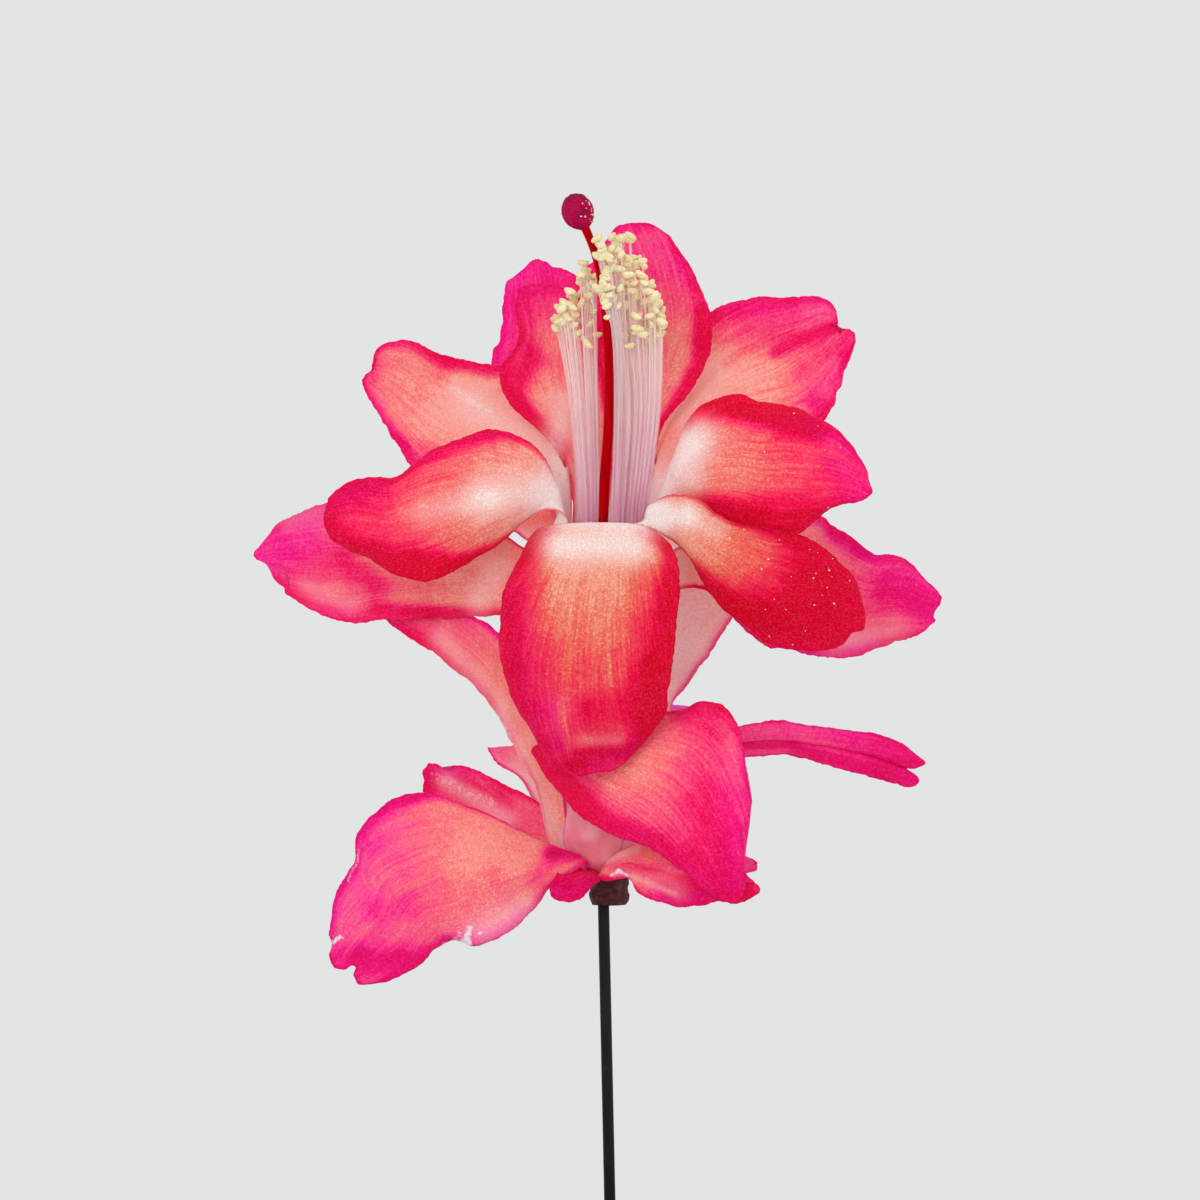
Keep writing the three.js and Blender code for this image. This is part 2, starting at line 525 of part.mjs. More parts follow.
// Potting soil: a filling with a lumpy top that falls a little towards the wall.
function soil() {
  const { top, swell, lump, sides, rings } = SOIL;
  const floor = POT.floor + GAP;
  const outline = [[0, floor], [potInside(floor) - GAP, floor]];
  const wallHeight = top - swell - lump;
  const knee = POT.height - POT.rimHeight;
  outline.push([potInside(knee) - GAP, knee]);
  for (let k = rings; k >= 0; k--) {
    const r = ((potInside(wallHeight) - GAP) * k) / rings;
    outline.push([r, top - swell * (k / rings) ** 2]);
  }
  const geometry = turned(outline, sides);
  const places = geometry.getAttribute('position');
  for (let i = 0; i < places.count; i++) {
    const [x, y, z] = [places.getX(i), places.getY(i), places.getZ(i)];
    if (z < wallHeight - lump) continue;
    const relief = Math.sin(0.9 * x + 1.3) * Math.cos(0.8 * y - 0.4) + 0.5 * Math.sin(1.7 * y + 0.6 * x);
    places.setZ(i, z + (lump * relief) / 1.5);
  }
  return solidOf(geometry);
}

// The rod's axis from its end in the soil to its seat in the ovary.
function rodPath(grow) {
  const foot = vector(ROD.lean);
  return [foot.clone().multiplyScalar(1 + grow / foot.length()), new THREE.Vector3(0, 0, OVARY.socket - GAP)];
}

// The ovary is a little off the rod's axis, with a blind socket for the rod.
function ovary() {
  const { radius, height, sides, offset, socket } = OVARY;
  const outline = [
    [0, 0], [radius * 0.8, 0], [radius, height * 0.3], [radius * 0.96, height * 0.7],
    [radius * 0.7, height], [0, height],
  ];
  const body = solidOf(turned(outline, sides).translate(offset, 0, 0));
  const hole = bar([vector([0, 0, -1]), vector([0, 0, socket])], ROD.radius + GAP, ROD.sides, 1);
  return body.subtract(solidOf(hole));
}

// What the petals keep clear of, round the ovary.
function ovaryRoom() {
  const { radius, height, offset } = OVARY;
  const [reach, top] = [radius + offset + GAP, height + GAP / 2];
  return solidOf(turned([[0, -height], [reach, -height], [reach, top], [0, top]], ROD.sides));
}

// A named mesh of a solid, in a colour and roughness.
function meshOf(name, solid, [colour, roughness]) {
  const material = new THREE.MeshStandardMaterial({ color: colour, roughness, metalness: 0 });
  const mesh = new THREE.Mesh(geometryOf(solid), material);
  mesh.name = name;
  return mesh;
}

// Whether the boxes of two solids meet.
function overlap(a, b) {
  const [one, two] = [a.boundingBox(), b.boundingBox()];
  return [0, 1, 2].every((k) => one.min[k] < two.max[k] && two.min[k] < one.max[k]);
}

const flower = new THREE.Group();
flower.position.set(...FLOWER);
const tube = floralTube();
const style = styleAndStigma(STYLE.radius);
const styleRoom = styleAndStigma(STYLE.radius, GAP);
const bundle = cutBy(stamens(), [styleRoom]);
const rod = solidOf(bar(rodPath(0), ROD.radius, ROD.sides, 1));
const seat = ovary();
flower.add(
  meshOf('rod', rod, COLOURS.rod),
  meshOf('ovary', seat, COLOURS.ovary),
  meshOf('floral_tube', tube, COLOURS.tube),
  meshOf('style_and_stigma', style, COLOURS.style),
  meshOf('stamens', bundle, COLOURS.stamens),
);

const taken = [tubeRoom(), ovaryRoom()];
for (const [name, petal] of Object.entries(PETALS)) {
  const whole = blade(petal, BLADE);
  const cut = cutBy(whole, taken.filter((room) => overlap(whole, room)));
  flower.add(meshOf(`petal_${name}`, cut, [petal.colour, PETAL_ROUGHNESS]));
  taken.push(blade(petal, BLADE + 2 * GAP, GAP));
}

const ground = new THREE.Group();
const rodRoom = solidOf(bar(rodPath(GAP), ROD.radius + GAP, ROD.sides, 1)).translate(FLOWER);
ground.add(
  meshOf('pot', pot(), COLOURS.terracotta),
  meshOf('soil', soil().subtract(rodRoom), COLOURS.soil),
);

const plant = new THREE.Group();
plant.add(flower, ground);

export default plant;
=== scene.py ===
"""Looks of an open Christmas cactus flower on a thin rod in a small clay pot.

The classes hold their sizes in millimetres. The flower's own measures start at the underside of the ovary,
the pot's at its underside. A mesh is turned to metres when it is made.
"""

import logging
import math
from dataclasses import dataclass, field
from enum import Enum

import bpy
import numpy as np
from bpy.types import ID, Material, Node, NodeSocket, NodeTree, Object
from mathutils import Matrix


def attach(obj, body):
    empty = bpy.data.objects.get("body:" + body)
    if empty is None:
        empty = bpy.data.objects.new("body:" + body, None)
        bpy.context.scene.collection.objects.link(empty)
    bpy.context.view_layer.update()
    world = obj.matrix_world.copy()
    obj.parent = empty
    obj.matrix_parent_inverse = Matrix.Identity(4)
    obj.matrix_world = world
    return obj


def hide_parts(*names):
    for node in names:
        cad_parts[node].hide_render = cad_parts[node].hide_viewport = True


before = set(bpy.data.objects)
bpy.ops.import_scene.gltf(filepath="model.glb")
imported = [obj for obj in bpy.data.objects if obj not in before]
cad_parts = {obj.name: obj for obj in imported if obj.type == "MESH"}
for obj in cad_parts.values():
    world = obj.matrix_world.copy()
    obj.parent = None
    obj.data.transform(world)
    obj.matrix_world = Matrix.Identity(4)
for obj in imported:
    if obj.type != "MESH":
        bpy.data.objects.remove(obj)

MM = 0.001
FLOWER = np.array([-0.7, 0.0, 90.0])
LOG = logging.getLogger("cactus_flower")
Pair = tuple[float, float]
Point = tuple[float, float, float]
Row = tuple[float, ...]
Stroke = tuple[float, float, float, float, float, float]
# Where the front view is taken from, in the flower's own millimetres.
EYE = np.array([-0.35, -421.05, 32.1])
# Most of a noise pattern lies between these values.
NOISE_LOW, NOISE_HIGH = 0.3, 0.7
# A turned outline's point that lies closer to the axis than this is a pole.
POLE = 0.1


def linear(colour: str) -> tuple[float, float, float, float]:
    """Turns an sRGB hex value to linear light.

    Args:
        colour: six hex digits after a hash.

    Returns:
        Red, green, blue and alpha 1.
    """
    parts = [int(colour[i : i + 2], 16) / 255 for i in (1, 3, 5)]
    return (*(c / 12.92 if c <= 0.04045 else ((c + 0.055) / 1.055) ** 2.4 for c in parts), 1.0)


def add(
    tree: NodeTree, kind: str, inputs: dict | None = None, stops: list[tuple[float, str]] | None = None,
    out: str = "", **settings: object
) -> NodeSocket | None:
    """Adds a node with its settings and links.

    Args:
        tree: the node tree.
        kind: the node's type name, where a shader node's may leave out ShaderNode.
        inputs: values or output sockets, by the input's name or number.
        stops: places and hex colours of a colour ramp.
        out: name of the output that is wanted, if it isn't the first one in use.
        settings: other properties of the node.

    Returns:
        The output, or None where the node has none.
    """
    node = tree.nodes.new(kind if "Node" in kind else f"ShaderNode{kind}")
    for name, value in settings.items():
        setattr(node, name, value)
    for key, value in (inputs or {}).items():
        if isinstance(value, NodeSocket):
            tree.links.new(value, node.inputs[key])
        else:
            node.inputs[key].default_value = value
    if stops:
        elements = node.color_ramp.elements
        while len(elements) < len(stops):
            elements.new(0.5)
        for element, (place, colour) in zip(elements, stops):
            element.position = place
            element.color = linear(colour)
    return node.outputs[out] if out else next((socket for socket in node.outputs if socket.enabled), None)


def smooth(low: float, high: float, x: np.ndarray) -> np.ndarray:
    """Returns 0 below low, 1 above high and an eased rise between them."""
    t = np.clip((x - low) / (high - low), 0, 1)
    return t * t * (3 - 2 * t)


def unit(vectors: np.ndarray) -> np.ndarray:
    """Returns the vectors at length 1."""
    return vectors / np.maximum(np.linalg.norm(vectors, axis=-1, keepdims=True), 1e-9)


def along(values: Row | tuple[Point, ...], t: np.ndarray) -> np.ndarray:
    """Reads evenly spaced values along straight stretches.

    Args:
        values: numbers or points, from t 0 to t 1.
        t: places from 0 to 1.

    Returns:
        The value at each place.
    """
    table = np.asarray(values, float)
    places = np.linspace(0, 1, len(table))
    if table.ndim == 1:
        return np.interp(t, places, table)
    return np.stack([np.interp(t, places, column) for column in table.T], axis=1)


def curve(values: Row | tuple[Point, ...], t: np.ndarray) -> np.ndarray:
    """Reads evenly spaced values along a Catmull-Rom curve whose ends are reflected.

    Args:
        values: numbers or points, from t 0 to t 1.
        t: places from 0 to 1.

    Returns:
        The value at each place.
    """
    table = np.asarray(values, float)
    flat = table.ndim == 1
    if flat:
        table = table[:, None]
    last = len(table) - 1
    place = np.clip(t, 0, 1) * last
    i = np.minimum(place.astype(int), last - 1)
    f = (place - i)[:, None]
    more = np.vstack([2 * table[0] - table[1], table, 2 * table[-1] - table[-2]])
    a, b, c, d = more[i], more[i + 1], more[i + 2], more[i + 3]
    out = 0.5 * (2 * b + (c - a) * f + (2 * a - 5 * b + 4 * c - d) * f**2 + (3 * b - a - 3 * c + d) * f**3)
    return out[:, 0] if flat else out


def ripple(rng: np.random.Generator, places: np.ndarray, step: float) -> np.ndarray:
    """Random heights from -1 to 1 along a line, eased from one draw to the next.

    Args:
        rng: the source of the draws.
        places: millimetres along the line, from 0 up.
        step: millimetres from draw to draw.

    Returns:
        A height for each place.
    """
    knots = rng.uniform(-1, 1, int(places.max() / step) + 3)
    i = (places / step).astype(int)
    f = smooth(0, 1, places / step - i)
    return knots[i] * (1 - f) + knots[i + 1] * f


def swell(rng: np.random.Generator, points: np.ndarray, length: float, waves: int = 7) -> np.ndarray:
    """Low relief as the sum of a few crossing waves.

    Args:
        rng: the source of the waves.
        points: places in millimetres, in the last axis.
        length: about how far it is from crest to crest, in millimetres.
        waves: how many waves cross.

    Returns:
        A height for each point, mostly from -1 to 1.
    """
    total = np.zeros(points.shape[:-1])
    for _ in range(waves):
        way = unit(rng.normal(size=3)) * rng.uniform(0.7, 1.5) * 2 * math.pi / length
        total += np.sin(points @ way + rng.uniform(0, 2 * math.pi))
    return total / math.sqrt(waves)


def grid_faces(rows: int, columns: int, around: bool = False, first: int = 0) -> np.ndarray:
    """Quads between neighbouring rows of points.

    Args:
        rows: number of rows of points.
        columns: number of points in a row.
        around: whether a row closes on itself.
        first: index of the first point.

    Returns:
        One row of four indices per quad.
    """
    i, j = np.meshgrid(np.arange(rows - 1), np.arange(columns if around else columns - 1), indexing="ij")
    a = first + i * columns + j
    b = first + i * columns + (j + 1) % columns
    return np.stack([a, b, b + columns, a + columns], axis=-1).reshape(-1, 4)


def circle(sides: int) -> np.ndarray:
    """Returns even angles around a circle."""
    return np.linspace(0, 2 * math.pi, sides, endpoint=False)


def linked(name: str, data: ID) -> Object:
    """Makes an object of a mesh, a light or a camera, and links it to the scene."""
    made = bpy.data.objects.new(name, data)
    bpy.context.scene.collection.objects.link(made)
    return made


def make_object(
    name: str, points: np.ndarray, faces: list, origin: Point | np.ndarray = (0, 0, 0),
    edges: list | None = None,
) -> Object:
    """Makes a mesh object at the origin, with its place in its mesh.

    Args:
        name: the object's name.
        points: millimetres, one row per point.
        faces: lists of indices.
        origin: added to every point.
        edges: pairs of indices, for lines without faces.

    Returns:
        The object, linked to the scene.
    """
    mesh = bpy.data.meshes.new(name)
    mesh.from_pydata(((points + origin) * MM).tolist(), edges or [], [list(face) for face in faces])
    mesh.polygons.foreach_set("use_smooth", [True] * len(mesh.polygons))
    mesh.update()
    return linked(name, mesh)


def note(made: Object, name: str, values: np.ndarray) -> None:
    """Writes a number, or a vector, for every point of a mesh as a named attribute."""
    kind, part = ("FLOAT", "value") if values.ndim == 1 else ("FLOAT_VECTOR", "vector")
    layer = made.data.attributes.new(name, kind, "POINT")
    layer.data.foreach_set(part, values.astype(np.float32).ravel())


def dress(made: Object, material: Material, slot: str, *nodes: str) -> Object:
    """Gives a finished piece its material and its place in the frame.

    Args:
        made: the piece.
        material: its finish.
        slot: the record's material slot; not used.
        nodes: the CAD nodes that it stands for.

    Returns:
        The piece.
    """
    if material.name not in [m.name for m in made.data.materials if m]:
        made.data.materials.append(material)
    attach(made, "root")
    if nodes:
        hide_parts(*nodes)
    LOG.info("%s: %d faces", made.name, len(made.data.polygons))
    return made


def lathe(profile: list[Pair], sides: int) -> tuple[np.ndarray, list]:
    """Turns a closed outline about the upright axis.

    Args:
        profile: radius and height of each point, counterclockwise with the axis at the left.
        sides: points around.

    Returns:
        Points and faces.
    """
    turn = circle(sides)
    radius, height = np.asarray(profile, float).T
    points = np.stack(
        [np.outer(radius, np.cos(turn)), np.outer(radius, np.sin(turn)), np.outer(height, np.ones(sides))], -1
    )
    rows = len(profile)
    faces = grid_faces(rows, sides, around=True).tolist()
    first, last = list(range(sides)), list(range((rows - 1) * sides, rows * sides))
    if radius[0] < POLE:
        # The outline starts and ends at the axis: a small cap closes each pole.
        return points, [*faces, first[::-1], last]
    return points, [*faces, *zip(last, [*last[1:], last[0]], [*first[1:], first[0]], first)]


def tube_along(path: np.ndarray, radii: np.ndarray, sides: int) -> tuple[np.ndarray, list]:
    """A round stem along a path, closed at both ends.

    Args:
        path: points of the middle line.
        radii: the radius at each point.
        sides: points around.

    Returns:
        Points and faces.
    """
    ahead = unit(np.gradient(path, axis=0))
    across = unit(np.cross(np.array([0.0, 1.0, 0.0]), ahead))
    deep = np.cross(ahead, across)
    turn = circle(sides)
    ring = across[:, None] * np.cos(turn)[None, :, None] + deep[:, None] * np.sin(turn)[None, :, None]
    points = (path[:, None] + ring * radii[:, None, None]).reshape(-1, 3)
    faces = grid_faces(len(path), sides, around=True).tolist()
    last = (len(path) - 1) * sides
    return points, [*faces, list(range(sides - 1, -1, -1)), list(range(last, last + sides))]


def taken(made: Object, name: str) -> Object:
    """Turns what an object's modifiers make into a plain mesh object, and removes the first object."""
    graph = bpy.context.evaluated_depsgraph_get()
    mesh = bpy.data.meshes.new_from_object(made.evaluated_get(graph), depsgraph=graph)
    mesh.name = name
    plain = linked(name, mesh)
    made.modifiers.clear()
    bpy.data.objects.remove(made)
    return plain


def new_material(name: str) -> tuple[Material, NodeTree, NodeSocket]:
    """Makes an empty material and returns it with its node tree and the place on the object."""
    material = bpy.data.materials.new(name)
    material.use_nodes = True
    material.node_tree.nodes.clear()
    return material, material.node_tree, add(material.node_tree, "TexCoord", out="Object")


def per_mm(size: float) -> float:
    """Returns the scale of a texture in metres whose pattern repeats about every size millimetres."""
    return 1 / (size * MM)


def drawn_out(tree: NodeTree, place: NodeSocket, across: float, upward: float, detail: float) -> NodeSocket:
    """Returns a noise pattern drawn out upwards, its sizes in millimetres."""
    scale = (per_mm(across), per_mm(across), per_mm(upward))
    lines = add(tree, "Mapping", {"Vector": place, "Scale": scale})
    return add(tree, "TexNoise", {"Vector": lines, "Scale": 1.0, "Detail": detail})


def close_material(
    tree: NodeTree, colour: NodeSocket | tuple, reliefs: tuple[tuple[NodeSocket, float, float], ...],
    gloss: tuple[NodeSocket, float, float], inner: Row | None = None, **more: object
) -> None:
    """Ends a material's tree in a Principled shader.

    Args:
        tree: the material's nodes.
        colour: the colour's output, or one colour in linear light.
        reliefs: pattern, strength and height in mm of each relief; one of negative height is sunk.
        gloss: pattern, and the roughness where it is low and where it is high.
        inner: weight, reach of red, green and blue, and scale in mm of the light below the skin.
        more: the shader's other inputs, with _ for a space.
    """
    inputs = {name.replace("_", " "): value for name, value in more.items()}
    for pattern, strength, height in reliefs:
        bump = {"Strength": strength, "Distance": abs(height) * MM, "Height": pattern}
        if "Normal" in inputs:
            bump["Normal"] = inputs["Normal"]
        inputs["Normal"] = add(tree, "Bump", bump, invert=height < 0)
    pattern, low, high = gloss
    rough = add(tree, "MapRange", {0: pattern, 1: NOISE_LOW, 2: NOISE_HIGH, 3: low, 4: high})
    if inner:
        inputs |= {
            "Subsurface Weight": inner[0], "Subsurface Radius": inner[1:4], "Subsurface Scale": inner[4] * MM,
        }
    shader = add(tree, "BsdfPrincipled", {"Base Color": colour, "Roughness": rough, **inputs})
    add(tree, "OutputMaterial", {"Surface": shader})


@dataclass(frozen=True)
class PetalTissue:
    """Living petal: a thin sheet of water-filled cells with fine veins along it.

    The cells glint a little under soft light, most where they hold no colour: these glints are painted
    highlights, fine white grains in the colour. The colour gathers towards the margin in fine streaks and
    stipple, and the sheet lets red light through.
    """

    name: str
    foot: str
    heart: str
    coral: str
    middle: str
    margin: str
    edge: str
    cell: float = 0.2
    roughness: float = 0.55

    def build(self) -> Material:
        """Makes the material.

        Returns:
            The petal's material, which reads the blade, margin, foot, cool and film attributes.
        """
        material, tree, place = new_material(self.name)
        blade = add(tree, "Attribute", attribute_name="blade", out="Vector")
        margin, foot, cool, film = (
            add(tree, "Attribute", attribute_name=name, out="Fac")
            for name in ("margin", "foot", "cool", "film")
        )

        # Veins run from root to tip and fan out: a lane is the place across, over a width that grows with
        # height.
        across, height, seed = add(tree, "SeparateXYZ", {0: blade}).node.outputs
        wide = add(tree, "Math", {0: height, 1: 0.7, 2: 0.42}, operation="MULTIPLY_ADD")
        lane = add(tree, "Math", {0: across, 1: wide}, operation="DIVIDE")
        lanes = add(tree, "CombineXYZ", {0: lane, 1: height, 2: seed})

        # Veins 0.3 mm apart, and broader bands of them 1 mm apart.
        veins, bands = (
            add(
                tree, "TexNoise",
                {
                    "Vector": add(tree, "Mapping", {"Vector": lanes, "Scale": scale}), "Scale": 1.0,
                    "Detail": 3.0, "Roughness": 0.6,
                },
            )
            for scale in ((30.0, 4.0, 1.0), (9.0, 2.0, 1.0))
        )
        # Clouds of colour 2 mm across, the stipple of cells, and the grain of the painted glints.
        clouds, stipple, glint_grain = (
            add(
                tree, "TexNoise", {"Vector": place, "Scale": per_mm(size), "Detail": detail, "Roughness": 0.6}
            )
            for size, detail in ((2.2, 4.0), (0.32, 2.0), (0.2, 1.0))
        )
        cells = add(tree, "TexVoronoi", {"Vector": place, "Scale": per_mm(self.cell)})

        def shifted(value: NodeSocket, *patterns: tuple[NodeSocket, float]) -> NodeSocket:
            """Returns value moved up and down by patterns about their middle, 0.5, each by its amount."""
            for by, amount in patterns:
                centred = add(tree, "Math", {0: by, 1: 0.5}, operation="SUBTRACT")
                value = add(tree, "Math", {0: centred, 1: amount, 2: value}, operation="MULTIPLY_ADD")
            return value

        spread = shifted(margin, (veins, 0.62), (bands, 0.42), (clouds, 0.4), (stipple, 0.55))
        colours = (self.heart, self.coral, self.middle, self.margin, self.edge)
        stops = list(zip((0.0, 0.26, 0.52, 0.78, 1.0), colours))
        body = add(tree, "ValToRGB", {"Fac": spread}, stops)
        cooler = add(tree, "HueSaturation", {"Hue": 0.47, "Value": 1.06, "Color": body})
        whole = add(tree, "Value")
        whole.default_value = 1.0
        patchy = shifted(whole, (bands, 1.4), (clouds, 1.4))
        patches = add(tree, "Math", {0: cool, 1: patchy}, operation="MULTIPLY")
        # Pale foot: partly the petal's own pale base, and partly a painted highlight whose near-white stands
        # for the pearly sheen there.
        uneven = shifted(whole, (veins, 1.6), (stipple, 1.4))
        pale = add(tree, "Math", {0: foot, 1: uneven}, operation="MULTIPLY")
        # Painted highlight: fine white glints mixed into the colour, thick over the foot, few in the heart,
        # none further out.
        glint_dots = add(tree, "MapRange", {0: glint_grain, 1: 0.5, 2: 0.68, 3: 0.0, 4: 0.8})
        clear = add(tree, "MapRange", {0: spread, 1: 0.1, 2: 0.55, 3: 0.3, 4: 0.03})
        clear = add(tree, "Math", {0: foot, 1: 0.6, 2: clear}, operation="MULTIPLY_ADD")
        painted_glints = add(tree, "Math", {0: glint_dots, 1: clear}, operation="MULTIPLY", use_clamp=True)
        # Torn skin dries to a colourless film.
        torn = add(tree, "MapRange", {0: shifted(film, (stipple, 1.0)), 1: 0.35, 2: 0.8})
        layers = (
            (patches, cooler), (pale, linear(self.foot)), (painted_glints, linear("#FFF6F0")),
            (torn, linear("#ECE2EA")),
        )
        for amount, colour in layers:
            body = add(tree, "Mix", {0: amount, 6: body, 7: colour}, data_type="RGBA")

        # Veins stand 0.03 mm proud and cells 0.015 mm.
        close_material(
            tree, body, ((veins, 0.5, 0.06), (cells, 0.35, -0.03)),
            (clouds, self.roughness - 0.07, self.roughness + 0.07), (0.3, 1.0, 0.35, 0.45, 0.8), IOR=1.4,
            Specular_IOR_Level=0.08, Specular_Tint=linear("#FFB0BC"),
        )
        return material


class Tone(Enum):
    """The hues that a petal's margin takes, from the throat out to the oldest petals."""

    CRIMSON = PetalTissue(
        "petal_tissue_crimson", "#F2E0DC", "#EC9A82", "#E46A52", "#E8384E", "#E20642", "#CC0024"
    )
    ROSE = PetalTissue("petal_tissue_rose", "#F4DEDA", "#F2A494", "#EC7064", "#F4405E", "#F00C50", "#D4022C")
    PINK = PetalTissue("petal_tissue_pink", "#F8E0DC", "#FAA89C", "#F87E78", "#F8507A", "#F21866", "#E00244")
    MAGENTA = PetalTissue(
        "petal_tissue_magenta", "#FBE0DE", "#F88E82", "#F86C74", "#FA4A84", "#EE187A", "#DE0660"
    )
    ORCHID = PetalTissue(
        "petal_tissue_orchid", "#F5CCD4", "#F590AE", "#F060A6", "#EA44AE", "#E038B4", "#D42CAC",
    )


@dataclass(frozen=True)
class Tube:
    """The floral tube, a thin pale shell that the petals grow from.

    profile is radius and height up the wall, lean how far its top lies to the right, throat the radius on
    which the upper petals' roots lie, and gap how far the others' roots stand off the wall.
    """

    profile: tuple[Pair, ...] = (
        (2.0, 3.1), (4.2, 4.6), (5.4, 7.2), (5.2, 12), (4.8, 20), (4.9, 30), (5.3, 37), (5.5, 39.4),
    )
    wall: float = 0.85
    lean: float = 0.5
    height: float = 40.0
    throat: float = 5.2
    gap: float = 0.3
    rows: int = 90
    sides: int = 120
    ribs: int = 8
    mean_radius: float = 5.0
    lines: float = 5.0
    first_line: float = -0.15
    rib_height: float = 0.1
    uneven: float = 0.08
    uneven_length: float = 9.0
    seed: int = 3

    def shift(self, z: np.ndarray | float) -> np.ndarray | float:
        """Returns how far the tube's axis lies to the right at a height."""
        return self.lean * z / self.height

    def radius(self, z: np.ndarray | float) -> np.ndarray | float:
        """Returns the outer radius at a height."""
        radii, heights = np.asarray(self.profile).T
        return np.interp(z, heights, radii)

    def build(self) -> None:
        """Makes the tube."""
        heights = np.linspace(self.profile[0][1], self.profile[-1][1], self.rows)
        outer = [(self.radius(z), z) for z in heights]
        inner = [(self.radius(z) - self.wall, z) for z in heights[::-1]]
        points, faces = lathe([*outer, *inner], self.sides)
        turn = np.arctan2(points[..., 1], points[..., 0])
        ribs = self.rib_height * np.cos(self.ribs * turn + 0.8)
        ribs += self.uneven * swell(np.random.default_rng(self.seed), points, self.uneven_length)
        points[..., :2] *= (1 + ribs / self.mean_radius)[..., None]
        points[..., 0] += self.shift(points[..., 2])
        made = make_object("floral_tube_skin", points.reshape(-1, 3), faces, FLOWER)
        note(made, "turn", (turn / (2 * math.pi)).ravel())
        note(made, "rise", (points[..., 2] / self.height).ravel())
        dress(made, self.finish(), "pale_tube", "floral_tube")

    def finish(self) -> Material:
        """Fleshy tube wall: pale, moist and translucent, with magenta lines where petal margins run down."""
        material, tree, place = new_material("tube_wall_pale")
        turn = add(tree, "Attribute", attribute_name="turn", out="Fac")
        rise = add(tree, "Attribute", attribute_name="rise", out="Fac")
        soft = add(tree, "TexNoise", {"Vector": place, "Scale": per_mm(3.0), "Detail": 3.0})
        wander = add(tree, "Math", {0: soft, 1: 0.04, 2: turn}, operation="MULTIPLY_ADD")
        lane = add(tree, "Math", {0: wander, 1: self.lines, 2: self.first_line}, operation="MULTIPLY_ADD")
        fold = add(tree, "Math", {0: lane, 1: 0.5}, operation="PINGPONG")
        # Each line is about 0.2 mm wide, on a tube 32 mm around.
        line = add(tree, "MapRange", {0: fold, 1: 0.004, 2: 0.03, 3: 0.7, 4: 0.0})
        skin = add(
            tree, "ValToRGB", {"Fac": soft}, stops=[(0.3, "#F2A4B4"), (0.55, "#E87E90"), (0.75, "#DC6278")],
        )
        top = add(tree, "MapRange", {0: rise, 1: 0.55, 2: 1.0, 3: 0.0, 4: 0.6})
        skin = add(tree, "Mix", {0: top, 6: skin, 7: linear("#F4DAD6")}, data_type="RGBA")
        colour = add(tree, "Mix", {0: line, 6: skin, 7: linear("#D8308A")}, data_type="RGBA")
        grain = add(tree, "TexNoise", {"Vector": place, "Scale": per_mm(0.25), "Detail": 2.0})
        close_material(
            tree, colour, ((grain, 0.35, 0.04),), (grain, 0.36, 0.5), (0.3, 1.0, 0.45, 0.45, 1.6), IOR=1.4
        )
        return material


TUBE = Tube()


def seen(flat: np.ndarray, depth: np.ndarray) -> np.ndarray:
    """Finds the points that cover given places of the plane through the tube's axis, seen from the front.

    Args:
        flat: x and z on that plane, in the last axis.
        depth: the y of each point.

    Returns:
        The points.
    """
    grow = (depth - EYE[1]) / -EYE[1]
    x = EYE[0] + (flat[..., 0] - EYE[0]) * grow
    return np.stack([x, depth, EYE[2] + (flat[..., 1] - EYE[2]) * grow], -1)


def drawn(points: np.ndarray, t: np.ndarray) -> np.ndarray:
    """Reads a smooth line through points at even steps of its length.

    Args:
        points: the points in order.
        t: places from 0 to 1.

    Returns:
        A point for each place.
    """
    gap = np.maximum(np.linalg.norm(np.diff(points, axis=0), axis=1), 1e-6)
    knot = np.concatenate([[0], np.cumsum(gap)])
    slope = np.diff(points, axis=0) / gap[:, None]
    inner = (slope[:-1] * gap[1:, None] + slope[1:] * gap[:-1, None]) / (gap[1:] + gap[:-1])[:, None]
    way = np.vstack([slope[:1], inner, slope[-1:]])
    place = np.clip(t, 0, 1) * knot[-1]
    i = np.clip(np.searchsorted(knot, place, side="right") - 1, 0, len(gap) - 1)
    f = ((place - knot[i]) / gap[i])[:, None]
    step = gap[i][:, None]
    start, end, leave, arrive = points[i], points[i + 1], way[i] * step, way[i + 1] * step
    return (
        (2 * f**3 - 3 * f**2 + 1) * start
        + (f**3 - 2 * f**2 + f) * leave
        + (3 * f**2 - 2 * f**3) * end
        + (f**3 - f**2) * arrive
    )


def ways(points: np.ndarray) -> tuple[np.ndarray, np.ndarray, np.ndarray]:
    """Returns the unit ways across, along and out of a grid of points."""
    across = unit(np.gradient(points, axis=1))
    upward = unit(np.gradient(points, axis=0))
    return across, upward, unit(np.cross(across, upward))


